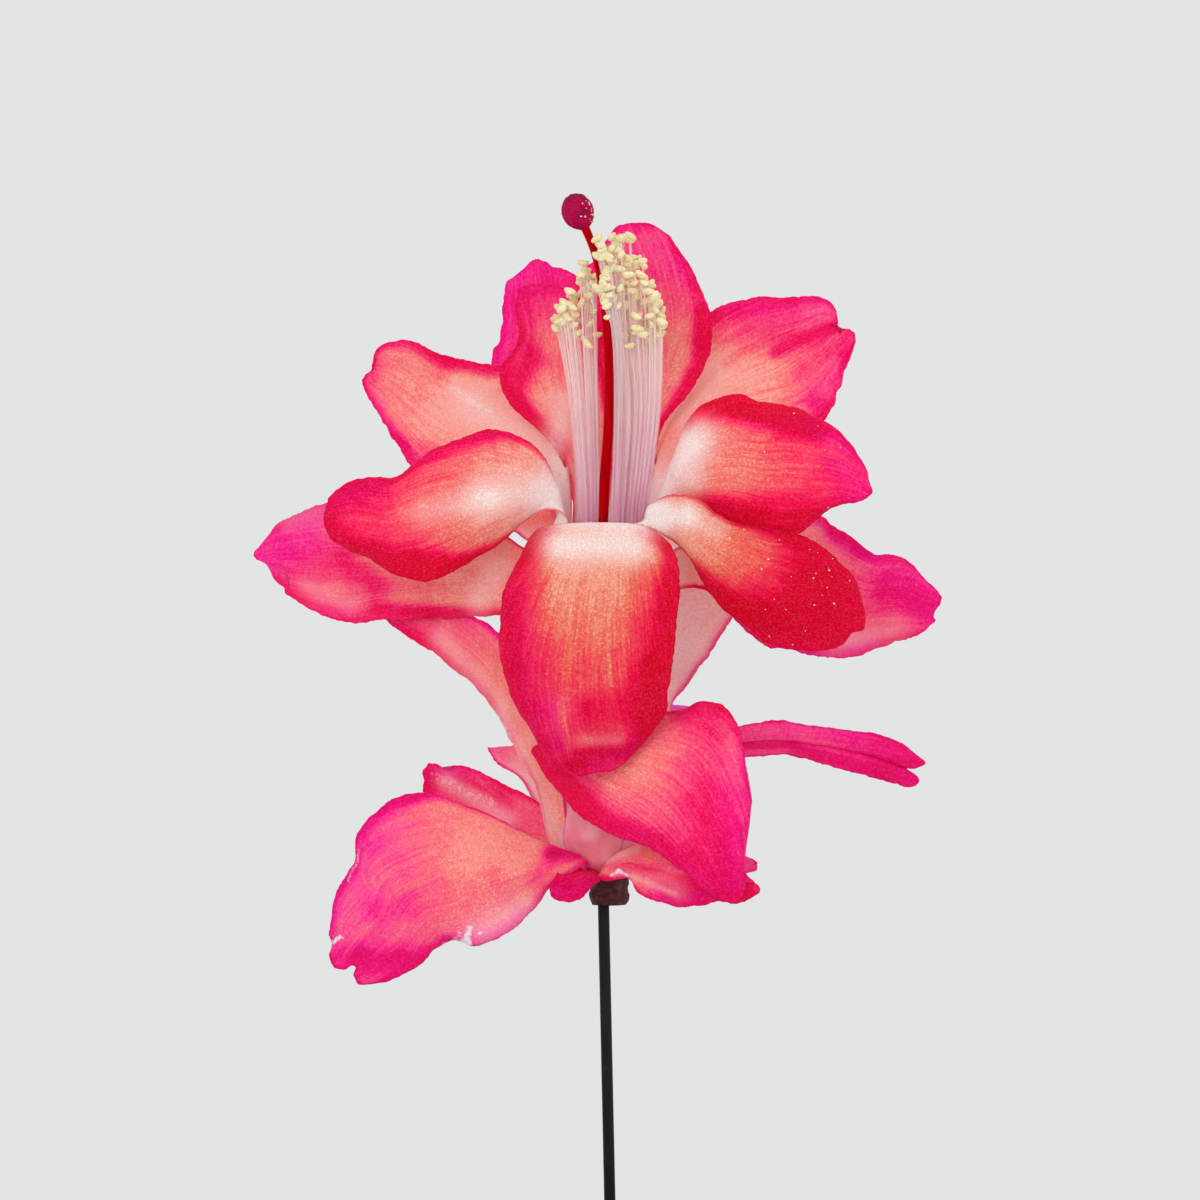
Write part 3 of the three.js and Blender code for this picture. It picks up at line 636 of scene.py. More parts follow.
@dataclass(frozen=True)
class Spine:
    """A blade laid along a spine.

    via are the spine's points after its root, face the way its inner side looks. right and left are half
    widths from root to tip, seen from the face with the tip up. cup curls the margins, blunt is the share of
    the length where the tip's rounding starts, and square how square it is.
    """

    via: tuple[Point, ...]
    face: tuple[Point, ...]
    right: Row
    left: Row
    cup: Row
    blunt: float = 0.72
    square: float = 2.0
    tip_half: float = 0.3
    curl_pull: float = 0.33
    nudge: float = 0.002

    def surface(self, root: np.ndarray, foot: np.ndarray, u: np.ndarray, v: np.ndarray) -> np.ndarray:
        """Lays out the blade's middle.

        Args:
            root: the middle of the foot.
            foot: from there to the foot's right end, which a spine doesn't need.
            u: places across, from -1 to 1.
            v: places along, from 0 to 1.

        Returns:
            A grid of points, in rows from root to tip.
        """
        line = (tuple(root), *self.via)
        middle = curve(line, v)
        tangent = unit(curve(line, v + self.nudge) - curve(line, v - self.nudge))
        side = unit(np.cross(tangent, along(self.face, v)))
        normal = np.cross(side, tangent)
        turn = np.clip((v - self.blunt) / (1 - self.blunt), 0, 1)
        tip = (1 - turn**self.square) ** (1 / self.square)
        cup = along(self.cup, v)[:, None]
        halves = np.where(u[None, :] > 0, curve(self.right, v)[:, None], curve(self.left, v)[:, None])
        half = np.maximum(halves * tip[:, None], self.tip_half)
        out = half * u * (1 - self.curl_pull * cup**2 * u**2)
        rise = cup * half * u**2
        return middle[:, None] + side[:, None] * out[..., None] + normal[:, None] * rise[..., None]


@dataclass(frozen=True)
class Outline:
    """A blade drawn by its borders as they are seen from the front.

    right and left are x and z along each border after the root, seen with the tip up, and tip the points from
    the left border's end to the right one's. depth is y along both borders after the root, lean how much
    further back the left one lies, and bulge how far the middle stands out, from root to tip.
    """

    right: tuple[Pair, ...]
    left: tuple[Pair, ...]
    tip: tuple[Pair, ...]
    depth: Row
    bulge: Row = (0, 1, 1, 0.4)
    lean: Row = (0, 0)

    def border(self, start: np.ndarray, flat: tuple[Pair, ...], lean: Row) -> np.ndarray:
        """Places a border's points.

        Args:
            start: the end of the foot.
            flat: x and z of the points after it.
            lean: how much further back than depth the border lies, from root to tip.

        Returns:
            The points from the root on.
        """
        after = np.array(flat, float)
        steps = np.linalg.norm(np.diff(np.vstack([start[[0, 2]], after]), axis=0), axis=1)
        share = np.cumsum(steps) / steps.sum()
        depth = along((start[1], *self.depth), share) + along(lean, share)
        return np.vstack([start, seen(after, depth)])

    def surface(self, root: np.ndarray, foot: np.ndarray, u: np.ndarray, v: np.ndarray) -> np.ndarray:
        """Spans the blade between its four borders.

        Args:
            root: the middle of the foot.
            foot: from there to the foot's right end.
            u: places across, from -1 to 1.
            v: places along, from 0 to 1.

        Returns:
            A grid of points, in rows from root to tip.
        """
        right = drawn(self.border(root + foot, self.right, (0, 0)), v)
        left = drawn(self.border(root - foot, self.left, self.lean), v)
        between = np.array([self.left[-1], *self.tip, self.right[-1]], float)
        depth = np.linspace(left[-1, 1], right[-1, 1], len(between))
        r = ((1 + u) / 2)[None, :, None]
        top = drawn(seen(between, depth), r[0, :, 0])
        base = root + foot * u[:, None]
        w = v[:, None, None]
        sides = (1 - r) * left[:, None] + r * right[:, None]
        ends = (1 - w) * base[None] + w * top[None]
        corners = (1 - w) * ((1 - r) * left[0] + r * right[0]) + w * ((1 - r) * left[-1] + r * right[-1])
        points = sides + ends - corners
        hump = along(self.bulge, v)[:, None] * (1 - u[None, :] ** 2)
        return points + ways(points)[2] * hump[..., None]


@dataclass(frozen=True)
class Petal:
    """A petal: a thin blade, rooted on the throat's rim or on the tube's wall.

    rim is the root's angle on the throat, wall its angle and height on the tube, lobe a point. 0 degrees is
    to the right and 90 to the back. foot is half the root's width, or the vector to its right end. wave is
    the height, count and start of the margins' waves. rims are the shares of the half blade that the
    margin's colour takes at the right and left, from root to tip. base is how far the middle's colour has
    turned to the margin's, and fade where it starts and ends to turn towards the tip, and by how much. pale
    is the share of the length that is pale at the foot, a pale base whose near-white is also a painted
    highlight for its pearly sheen. deep, wash, cool and torn are soft strokes, seen from the front: x and z
    of both ends, reach and amount. They deepen the colour, make it paler, turn it to magenta or dry it to a
    film. Some deep strokes are painted shade, in creases, below folds and on margins that turn away, and
    some wash strokes are painted highlights. creases are folds: across, drift by the tip, depth and width.
    ragged is how uneven the margin is, and dust how much pollen lies on the blade.
    """

    name: str
    tone: Tone
    shape: Spine | Outline
    rim: float | None = None
    wall: Pair | None = None
    lobe: Point | None = None
    foot: float | Point = 1.7
    wave: Point = (0.3, 2, 0.2)
    rims: tuple[Row, Row] = ((0.3,), (0.3,))
    base: float = 0.0
    fade: Point = (0.3, 1.0, 0.7)
    pale: float = 0.0
    deep: tuple[Stroke, ...] = ()
    wash: tuple[Stroke, ...] = ()
    cool: tuple[Stroke, ...] = ()
    torn: tuple[Stroke, ...] = ()
    creases: tuple[tuple[float, float, float, float], ...] = ()
    ragged: float = 0.2
    dust: float = 0.0

    def root(self) -> tuple[np.ndarray, np.ndarray]:
        """Returns the middle of the foot, and the vector from there to its right end."""
        angle, z = self.wall or (self.rim or 0.0, TUBE.height)
        turn = math.radians(angle)
        reach = TUBE.radius(z) + TUBE.gap if self.wall else TUBE.throat
        middle = self.lobe or (TUBE.shift(z) + reach * math.cos(turn), reach * math.sin(turn), z)
        if isinstance(self.foot, tuple):
            return np.array(middle), np.array(self.foot)
        return np.array(middle), self.foot * np.array([math.sin(turn), -math.cos(turn), 0.0])


@dataclass
class PetalBuilder:
    """Builds one petal's mesh and its attributes."""

    petal: Petal
    seed: int
    rows: int = 120
    columns: int = 40
    thickness: float = 0.3
    thin: float = 0.12
    # Shares of the rows' and columns' spacing that stay even.
    even: Pair = (0.65, 0.5)
    # Height and length of the blade's low swells, and weight and step of what makes its margin ragged.
    swells: tuple[Pair, ...] = ((0.14, 7.0), (0.05, 2.6))
    jags: tuple[Pair, ...] = ((0.5, 1.7), (0.3, 0.6), (0.3, 0.3))
    u: np.ndarray = field(init=False)
    v: np.ndarray = field(init=False)

    def __post_init__(self) -> None:
        """Lays out the grid: u from margin to margin, v from root to tip, closer where the shape turns."""
        across, upward = np.linspace(-1, 1, self.columns + 1), np.linspace(0, 1, self.rows + 1)
        self.u, self.v = (
            np.sin(place * math.pi / 2) * (1 - even) + place * even
            for place, even in zip((across, upward), self.even)
        )

    def middle(self) -> np.ndarray:
        """Places the blade's middle surface.

        Returns:
            A grid of points, in rows from root to tip.
        """
        p, u, v = self.petal, self.u[None, :], self.v[:, None]
        points = p.shape.surface(*p.root(), self.u, self.v)
        normal = ways(points)[2]
        height, count, start = p.wave
        phase = 2 * math.pi * (count * v + start + 0.25 * np.sign(u))
        rise = height * np.sin(phase) * np.abs(u) ** 3 * np.minimum(3 * v, 1)
        for across, drift, depth, width in p.creases:
            rise = rise - depth * np.exp(-(((u - across - drift * v) / width) ** 2)) * smooth(0.05, 0.3, v)
        rng = np.random.default_rng(self.seed)
        low = sum(height * swell(rng, points, length) for height, length in self.swells)
        rise = rise + low * (0.25 + 0.75 * np.abs(u)) * smooth(0.0, 0.15, v)
        return points + normal * rise[..., None] + self.ragged(points, rng)

    def ragged(self, points: np.ndarray, rng: np.random.Generator) -> np.ndarray:
        """Works out how the ragged margin moves the blade's points.

        Args:
            points: the smooth blade.
            rng: the source of the raggedness.

        Returns:
            A shift for each point.
        """
        across, upward, _ = ways(points)
        u, v = self.u[None, :, None], self.v[:, None, None]
        rows, columns = points.shape[:2]
        rim = np.concatenate([points[:, 0], points[-1, 1:-1], points[::-1, -1]])
        steps = np.linalg.norm(np.diff(rim, axis=0), axis=1)
        place = np.concatenate([[0], np.cumsum(steps)])
        jag = self.petal.ragged * sum(weight * ripple(rng, place, step) for weight, step in self.jags)
        start = smooth(0.03, 0.25, self.v)
        left = (jag[:rows] * start)[:, None, None]
        tip = jag[rows - 1 : rows - 1 + columns][None, :, None]
        right = (jag[rows + columns - 2 :][::-1] * start)[:, None, None]
        return (
            across * (right * np.maximum(u, 0) ** 4 - left * np.maximum(-u, 0) ** 4) + upward * tip * v**18
        )

    def shell(self, middle: np.ndarray) -> tuple[np.ndarray, np.ndarray]:
        """Thickens the middle surface to both sides and closes it.

        Args:
            middle: grid of points.

        Returns:
            Points and quads.
        """
        normal = ways(middle)[2]
        slim = np.maximum(np.abs(self.u)[None, :] ** 5, self.v[:, None] ** 14)
        half = (self.thickness + (self.thin - self.thickness) * slim) / 2
        points = np.concatenate([middle + normal * half[..., None], middle - normal * half[..., None]])
        rows, columns = middle.shape[:2]
        top = grid_faces(rows, columns)
        under = grid_faces(rows, columns, first=rows * columns)[:, ::-1]
        index = np.arange(rows * columns).reshape(rows, columns)
        border = np.concatenate([index[0, :-1], index[:-1, -1], index[-1, :0:-1], index[:0:-1, 0]])
        after = np.roll(border, -1)
        closing = np.stack([after, border, border + rows * columns, after + rows * columns], -1)
        return points.reshape(-1, 3), np.vstack([top, under, closing])

    def stroked(self, flat: np.ndarray, strokes: tuple[Stroke, ...]) -> np.ndarray:
        """Adds up soft strokes.

        Args:
            flat: x and z of the blade's points as seen from the front.
            strokes: x and z of both ends, reach and amount of each.

        Returns:
            Their sum at each point.
        """
        total = np.zeros(flat.shape[:-1])
        for x0, z0, x1, z1, reach, amount in strokes:
            start = np.array([x0, z0])
            way = np.array([x1, z1]) - start
            share = np.clip((flat - start) @ way / max(way @ way, 1e-6), 0, 1)
            off = np.linalg.norm(flat - start - share[..., None] * way, axis=-1)
            total += amount * np.exp(-((off / reach) ** 2))
        return total

    def colouring(self, middle: np.ndarray) -> dict[str, np.ndarray]:
        """Lays out the colours.

        Args:
            middle: grid of the blade's points.

        Returns:
            How far each point's colour is the margin's, with the painted shade of some deep strokes, how
            pale, with the painted highlight of the foot and of some wash strokes, how magenta and how dry it
            is.
        """
        p, u, v = self.petal, self.u[None, :], self.v[:, None]
        grow = -EYE[1] / (middle[..., 1] - EYE[1])
        flat = EYE[[0, 2]] + (middle[..., [0, 2]] - EYE[[0, 2]]) * grow[..., None]
        wide = np.where(u > 0, *(along(rim, self.v)[:, None] for rim in p.rims))
        side = smooth(-0.35, 1.0, (np.abs(u) - (1 - wide)) / np.maximum(wide, 0.02))
        start, end, amount = p.fade
        inside = p.base + amount * smooth(start, end, v)
        margin = 1 - (1 - 0.9 * side) * (1 - np.clip(inside, 0, 1))
        margin = np.maximum(margin, 0.9 * smooth(0.955, 1.0, v))
        foot = 1 - smooth(0.35, 1.0, v / max(p.pale, 0.02)) if p.pale else np.zeros_like(v)
        foot = foot * (1 - 0.85 * smooth(0.6, 1.0, np.abs(u)))
        # The deep strokes deepen the margin's colour; some of them are painted shade in creases, below folds
        # and on margins that turn away.
        margin_and_shade = margin + self.stroked(flat, p.deep)
        # Beyond 0.6 the colour deepens ever more slowly.
        return {
            "margin": np.where(margin_and_shade > 0.6, 0.6 + 0.44 * np.tanh((margin_and_shade - 0.6) / 0.5), margin_and_shade),
            "foot": np.clip(foot, 0, 1) + self.stroked(flat, p.wash),
            "cool": 0.1 * smooth(0.55, 1.0, v) + 0.7 * self.stroked(flat, p.cool),
            "film": self.stroked(flat, p.torn),
        }

    def build(self) -> Object:
        """Makes the petal's object with its attributes, not yet dressed."""
        middle = self.middle()
        points, faces = self.shell(middle)
        made = make_object(f"petal_{self.petal.name}_blade", points, faces, FLOWER)
        shape = middle.shape[:2]
        across = np.broadcast_to(self.u[None, :], shape)
        upward = np.broadcast_to(self.v[:, None], shape)
        grain = np.stack([across, upward, np.full(shape, float(self.seed))], -1).reshape(-1, 3)
        note(made, "blade", np.vstack([grain, grain]))
        for name, values in self.colouring(middle).items():
            note(made, name, np.tile(values.ravel(), 2))
        if self.petal.dust:
            fall = self.petal.dust * smooth(0.15, 0.4, upward) * (1 - 0.6 * smooth(0.2, 0.9, across))
            note(made, "dust", np.concatenate([fall.ravel(), np.zeros(fall.size)]))
        return made


# The petals, from those on top to those that they cover.
PETALS = (
    Petal(
        "front", Tone.CRIMSON, rim=268, foot=2.4, wave=(0.2, 2, 0.1), pale=0.2, fade=(0.2, 0.95, 0.72),
        shape=Outline(
            right=(
                (-4.6, 40), (-6.7, 39.8), (-7.7, 38.8), (-8.8, 36.8), (-9.8, 34.6), (-10.6, 32),
                (-10.9, 29.4), (-11, 27), (-10.4, 24.2), (-9.6, 22), (-8, 19.2), (-6.2, 16.8),
            ),
            left=(
                (3.4, 40), (5.6, 39.2), (7, 38), (7.8, 36), (8, 34), (7.8, 30), (7.3, 26), (6.7, 22.4),
                (6.7, 20.6), (6, 19.2), (4.8, 17.6),
            ),
            tip=((3, 16), (1, 14.5), (-1, 14.1), (-2.5, 13.9), (-3.8, 14.8), (-5, 15.4)),
            depth=(-7.6, -10.6, -12, -12, -11), bulge=(0, 1.4, 2.6, 2.8, 2.4, 1.0),
        ),
        rims=((0.14, 0.4, 0.5, 0.55, 0.6), (0.14, 0.26, 0.4, 0.55, 0.6)),
        # Painted shade among these: the thin dark line along the crease above the curled lip, and the deep
        # band down the right side, which is partly its crimson margin and partly painted shade where the
        # blade turns away.
        deep=(
            (6.8, 35, 6, 25, 1.1, 0.3), (4.6, 25, 4.4, 19.5, 1.7, 0.5), (-3, 15, 4, 16.8, 0.9, 0.4),
            (-1.6, 17.6, 2.2, 18.4, 1.1, -0.12), (-4.6, 18.6, -4.4, 21, 1.6, -0.12),
            (-9.6, 32, -9.2, 25, 1.0, 0.25), (-8.6, 37.4, -5.4, 39.5, 0.9, 0.5), (-1, 31, 0, 25, 2.6, -0.05),
            (4.2, 34, 3.8, 29, 1.6, 0.25), (3.8, 39.6, 6.8, 37.8, 0.9, 0.6), (-3.3, 14.7, -2.8, 15, 0.6, 0.9),
            (-1.5, 20.6, 2, 21, 1.6, 0.25), (-3, 16.1, 3, 16.2, 0.3, 0.5),
        ),
        # The broad wash over the hump near the foot is a painted highlight, the white sheen band there; the
        # narrow one above the lip lays pale streaks that are partly painted highlight.
        wash=((-4.5, 37.8, 3, 37.8, 1.8, 0.75), (-2.6, 17.4, 1.6, 17.4, 0.5, 0.1)),
        cool=((-9.4, 32, -7, 20, 2.2, 0.3), (-4.6, 17, -4.6, 21, 1.6, 0.5), (-1, 14.8, 3, 16.4, 1.1, 0.5)),
    ),
    Petal(
        "left", Tone.ROSE, rim=200, foot=(-0.9, 1.5, 0), wave=(0.35, 1.8, 0.3), pale=0.3,
        fade=(0.25, 0.95, 0.6), base=0.08,
        shape=Outline(
            right=(
                (-4.5, 41.8), (-4.5, 43.6), (-5, 45), (-6, 46.9), (-7, 48), (-8, 48.8), (-10, 49.6),
                (-12, 49.95), (-14, 49.4), (-16, 48.8), (-18, 48.1), (-20.5, 46.3), (-22, 45), (-24, 44.9),
                (-26, 44.7), (-27.7, 43.8), (-28.9, 42.7),
            ),
            left=(
                (-3.7, 40.7), (-4.6, 41.4), (-6, 41.6), (-7.3, 41.1), (-8.5, 40.1), (-10, 38.6), (-11, 37.8),
                (-13, 36.5), (-15, 35.5), (-17, 34.7), (-19, 34.3), (-21, 34.6), (-23, 35.2), (-25, 36.4),
                (-27, 37.2), (-28, 37.9),
            ),
            tip=((-28.7, 38.7), (-29.2, 39.6), (-29.5, 40.8), (-29.3, 41.8)),
            depth=(-3.4, -5, -6.6, -7.6, -8), bulge=(0, 0.8, 2.0, 2.2, 1.4, 0.4), lean=(0, -0.6, 0),
        ),
        rims=((0.12, 0.14, 0.22, 0.24, 0.26), (0.12, 0.14, 0.24, 0.36, 0.3)),
        deep=(
            (-19.6, 36, -17.6, 35.8, 1.7, 0.75), (-28, 38.2, -21, 36, 1.3, 0.6),
            (-19, 35, -12.6, 36.7, 0.9, 0.5), (-28.3, 43, -24.5, 44, 1.5, 0.5),
            (-29, 41.4, -28.4, 39, 0.9, 0.5), (-21, 46, -12, 49.2, 1.1, 0.25), (-21, 41, -13, 41.8, 1.6, -0.1)
        ),
        wash=((-12.4, 43, -5, 43.6, 2.1, 0.6), (-19, 41.4, -12, 42.8, 1.4, 0.25)),
        cool=((-19, 47.6, -11, 49.6, 1.5, 0.3), (-28, 43, -24, 44, 1.5, 0.5)),
    ),
    Petal(
        "lower_right", Tone.CRIMSON, rim=316, wave=(0.3, 2.2, 0), pale=0.22, fade=(0.2, 0.8, 0.7), base=0.08,
        dust=1.0,
        shape=Outline(
            right=(
                (4.6, 39.75), (6.2, 39), (7.5, 38.1), (8.5, 37), (9.5, 35.4), (10.5, 33.9), (11.5, 32.6),
                (12.5, 31.5), (13.8, 30.3), (15, 29.3), (16, 28.4), (17, 27.6), (18.2, 27.15), (20, 27),
                (22, 26.9), (24, 27), (25.2, 27.4),
            ),
            left=(
                (4.6, 41.9), (6, 42.8), (8, 43.1), (10, 42.6), (12, 41.3), (14, 40.4), (16, 39.9), (18, 39.1),
                (20, 38.9), (22, 38.1), (24, 36.8), (25.5, 35.4), (26.5, 34.3), (27.1, 32.8), (27.5, 31),
            ),
            tip=((27.6, 29.8), (27.3, 28.9), (26.4, 28.6), (25.8, 28)), depth=(-6, -7.6, -8.8, -9.6, -10),
            bulge=(0, 0.8, 1.8, 2.2, 1.6, 0.4),
        ),
        rims=((0.12, 0.2, 0.3, 0.4, 0.5), (0.12, 0.12, 0.16, 0.3, 0.4)),
        deep=(
            (22, 32, 25, 31.5, 3.2, 0.6), (14.4, 30.8, 24, 28.8, 2.2, 0.7), (9.6, 35.6, 14, 31.6, 0.9, 0.5),
            (20.5, 38.2, 25.4, 34, 1.5, 0.5), (20, 34.6, 23, 34, 1.6, 0.25), (9.5, 38.8, 19, 35.4, 2.4, -0.1),
        ),
        wash=((4.6, 41, 8.6, 41, 1.4, 0.75), (9, 40.6, 12, 39.4, 1.0, 0.25)),
    ),
    Petal(
        "right", Tone.ROSE, rim=350, wave=(0.3, 2, 0.6), pale=0.2, fade=(0.25, 0.95, 0.6), base=0.14,
        dust=0.25,
        shape=Outline(
            right=(
                (5.4, 41.2), (7, 41.6), (9, 41.6), (11, 41), (13, 40), (15, 39.3), (17, 38.8), (19, 38.9),
                (20.4, 39.3), (21.5, 39.8), (22.7, 40.7), (24, 41.6), (25, 41.9), (26.6, 42.2),
            ),
            left=(
                (6, 43.2), (6.7, 46), (7.4, 48), (8, 49.3), (9, 51), (10.5, 52.5), (12.5, 53.3), (14.5, 53.5),
                (16.5, 53), (18, 53), (20, 52.6), (22, 51.7), (23.5, 50.8), (25, 49.5), (26, 48.3),
                (27, 46.9), (27.8, 45.4),
            ),
            tip=((28.1, 44.4), (28.3, 43.6), (27.6, 42.7)), depth=(-3, -5, -6.6, -7.6, -8),
            bulge=(0, 0.8, 2.0, 2.2, 1.4, 0.4),
        ),
        rims=((0.12, 0.3, 0.4, 0.35, 0.3), (0.15, 0.2, 0.3, 0.3, 0.3)),
        # The stroke along the lower margin, from x 11 to 22 at z 41 to 42, is painted shade on that margin.
        deep=(
            (11.5, 52.4, 22, 50.8, 1.2, 0.75), (19, 50, 22.5, 50, 1.2, 0.4), (11, 42.2, 22, 40.8, 1.3, 0.85),
            (12, 47.5, 21, 46.2, 2.6, -0.05), (9, 50.6, 7.4, 47.4, 0.7, 0.2),
        ),
        wash=((6.4, 44.4, 9, 48.6, 1.7, 0.85), (9.5, 44.6, 10.6, 49.6, 1.4, 0.35)),
        cool=((25, 49, 27.5, 44, 2.8, 0.7), (22, 50.6, 8.4, 50, 1.0, 0.2)),
    ),
    Petal(
        "rear_right", Tone.PINK, rim=62, wave=(0.3, 2.4, 0.4), pale=0.2, fade=(0.2, 0.9, 0.45), base=0.14,
        shape=Outline(
            right=(
                (5.2, 43), (5.6, 46), (5.9, 48.8), (6.6, 50.7), (7.5, 52.2), (8.5, 53.5), (9.5, 54.8),
                (10.4, 56.2), (11.2, 57.8), (11.5, 59.5), (11.5, 61), (11, 63), (10.3, 64.7), (9.7, 66.3),
                (9, 67.6), (8, 69.1), (7, 70.3),
            ),
            left=((0.8, 45), (0, 52), (-0.4, 58), (-0.6, 62), (-1.4, 64.8), (-2, 67.2)),
            tip=(
                (-1, 68), (-0.1, 69.6), (0.7, 70.9), (1.3, 71.5), (2.6, 71.9), (4.2, 72), (5, 71.9), (6, 71.3)
            ),
            depth=(5.2, 6.4, 8, 10, 12), bulge=(0, -0.6, -1.4, -1.2, -0.4),
        ),
        rims=((0.3, 0.2, 0.3, 0.26, 0.3), (0.2, 0.2, 0.2, 0.25, 0.3)),
        deep=(
            (5.8, 49, 9.4, 55.6, 0.9, 0.65), (10.6, 58, 10.6, 62, 1.2, 0.8), (9.6, 65, 7.5, 69, 0.8, 0.15),
            (0.5, 70.5, 5, 71.6, 0.8, 0.2), (8, 55, 8.4, 61, 1.5, -0.18),
        ),
        cool=((2, 71, 8, 67, 2.0, 0.5),),
    ),
    Petal(
        "rear_left", Tone.PINK, rim=116, wave=(0.3, 2, 0.8), pale=0.26, fade=(0.3, 1.0, 0.45), base=0.16,
        shape=Outline(
            right=((-0.2, 44), (0.3, 48), (0.2, 53), (-0.5, 58), (-1.5, 61.5), (-2.7, 64)),
            left=(
                (-3.2, 44.2), (-4.3, 46.6), (-5, 47.7), (-6, 49), (-7, 49.9), (-8, 50.9), (-9, 51.9),
                (-10, 53.2), (-10.7, 54.8), (-10.9, 56.4), (-10, 57.8), (-9.2, 59.3), (-9.1, 61.5),
                (-9.3, 63.6), (-9, 64.9),
            ),
            tip=((-8, 65.4), (-6.5, 65.5), (-5, 65.4), (-3.8, 64.9)), depth=(4.6, 4.6, 4.8, 5.6, 7),
            bulge=(0, -0.4, -1, -1, -0.4),
        ),
        rims=((0.1, 0.1, 0.1, 0.1, 0.2), (0.2, 0.24, 0.3, 0.24, 0.25)),
        deep=(
            (-4.6, 47.8, -9.4, 53.2, 1.0, 1.0), (-9.6, 54.6, -7.4, 57.4, 1.6, 0.6),
            (-8.3, 64, -8, 59, 0.8, 0.25), (-8, 64.6, -4, 64.6, 0.9, 0.3), (-6.6, 54, -5.4, 60, 1.8, -0.22),
        ),
        wash=((-5, 48.4, -4.2, 53, 1.4, 0.5),), cool=((-8.6, 64.6, -4, 64.6, 1.6, 0.4),),
    ),
    Petal(
        "upper_left", Tone.PINK, rim=154, wave=(0.35, 2.2, 0.2), pale=0.3, fade=(0.5, 1.0, 0.5), base=-0.12,
        shape=Outline(
            right=(
                (-3.3, 43), (-3.6, 46), (-5.2, 50), (-7.6, 54), (-10, 56.4), (-12, 56.85), (-13, 57),
                (-15, 57.5), (-17, 58), (-18.5, 58.7), (-19.6, 59.3), (-21, 59.5), (-22.3, 59.3),
                (-23.3, 58.9), (-24, 58.1), (-24.3, 57.3),
            ),
            left=(
                (-6, 43.5), (-9, 45), (-13, 45), (-17, 44.6), (-19.6, 45.2), (-20.5, 46.3), (-21.4, 48),
                (-22.6, 50), (-23.4, 51.2), (-24.2, 52.6), (-25.1, 54), (-25.5, 55.1),
            ),
            tip=((-25.3, 55.7), (-24.95, 56.4), (-24.6, 56.9)), depth=(4.6, 7, 9, 11, 12.6),
            bulge=(0, -0.4, -1.2, -1.4, -0.6),
        ),
        rims=((0.14, 0.18, 0.24, 0.24, 0.26), (0.14, 0.16, 0.18, 0.22, 0.25)),
        deep=(
            (-12, 56.6, -18, 57.8, 1.1, 0.15), (-21, 48.4, -18.4, 47.6, 1.6, 0.5),
            (-24, 58, -24.6, 55.4, 0.9, 0.3), (-14, 53, -9, 50, 2.2, -0.25),
            (-17.2, 56, -16.4, 57.4, 1.2, 0.3),
        ),
        wash=((-14, 52.6, -5, 47, 1.7, 0.4), (-16, 54.4, -12, 52, 0.35, 0.3)),
        cool=((-24, 52, -21, 47, 1.8, 0.6),),
    ),
    Petal(
        "upper_right", Tone.PINK, rim=24, wave=(0.35, 2.4, 0.5), pale=0.26, fade=(0.4, 1.0, 0.55), base=0.02,
        shape=Outline(
            right=(
                (6.6, 42.5), (9, 46), (13, 48.6), (18, 49.6), (22, 50), (23.4, 51.2), (23.8, 52), (24.4, 53),
                (24.6, 54.1), (25, 54.6), (25.3, 56), (26, 57.6), (26.6, 59.2),
            ),
            left=(
                (4.4, 45), (5, 50), (6.8, 55.5), (9, 60), (11.2, 62.3), (12, 62.9), (13, 63.2), (15, 63.8),
                (17, 64.05), (19, 63.95), (21, 64), (22.6, 64.1), (23.8, 63.5), (24.5, 62.5),
            ),
            tip=((24.8, 61.6), (24.8, 61), (25.6, 60.9), (26.4, 60.3)), depth=(5, 8.4, 11, 13.4, 15),
            bulge=(0, -0.4, -1, -1, -0.4),
        ),
        rims=((0.2, 0.2, 0.2, 0.2, 0.25), (0.2, 0.2, 0.2, 0.2, 0.25)),
        deep=(
            (18, 58, 24.8, 61.1, 0.6, 0.45), (12, 62, 20, 62.6, 1.0, 0.25), (22, 53, 23.6, 51.8, 1.0, 0.35),
            (25.6, 59.8, 25.2, 57, 0.7, 0.2), (11, 55.6, 17, 56.4, 2.4, -0.15), (12, 60.6, 19, 60, 1.8, 0.25),
            (20, 52, 23, 58, 2.6, 0.12),
        ),
        wash=((8, 51.4, 12, 56, 1.1, 0.2),),
        cool=((14, 63, 23.6, 62.6, 1.6, 0.5), (22, 53, 25, 56, 1.6, 0.4)), creases=((-0.5, 0.3, 0.45, 0.1),),
    ),
    Petal(
        "mid_front", Tone.PINK, lobe=(-7.7, -3, 17.1), foot=(-0.35, -0.2, -0.35), wave=(0.3, 1.8, 0.3),
        shape=Outline(
            right=(
                (-7, 15.2), (-6, 13.4), (-5, 12.1), (-4, 11.1), (-3, 10.1), (-2, 9.2), (0, 7.9), (1, 7.3),
                (3, 6.7), (5, 5.9), (7, 4.6), (9, 3.2), (11, 1.6), (12.2, 0.8),
            ),
            left=(
                (-5.6, 17.8), (-3, 19.4), (1, 20.6), (4, 20.8), (6.3, 20.6), (8, 20.9), (9.6, 21.4),
                (11.2, 21.4), (12.6, 21), (13.6, 19.9), (14.2, 18.4), (14.4, 17), (14.7, 15), (15.2, 13),
                (15.6, 11), (15.5, 9), (15.3, 7), (15.1, 5), (14.9, 3),
            ),
            tip=((14.8, 1.6), (14.3, 0.5), (13.3, 0.3)), depth=(-6, -9, -11.2, -12, -11.5),
            bulge=(0, 1.2, 2.2, 2.0, 1.2, 0.4), lean=(0, 1.5, 0.5, 0),
        ),
        rims=((0.5, 0.4, 0.3, 0.3, 0.3), (0.1, 0.12, 0.14, 0.14, 0.2)), base=0.42, fade=(0.45, 1.0, 0.5),
        deep=(
            (-7, 16.4, -2, 11, 1.8, 0.7), (0, 9, 9, 4.6, 1.3, 0.35), (7.6, 20.2, 12, 20.4, 0.8, 0.3),
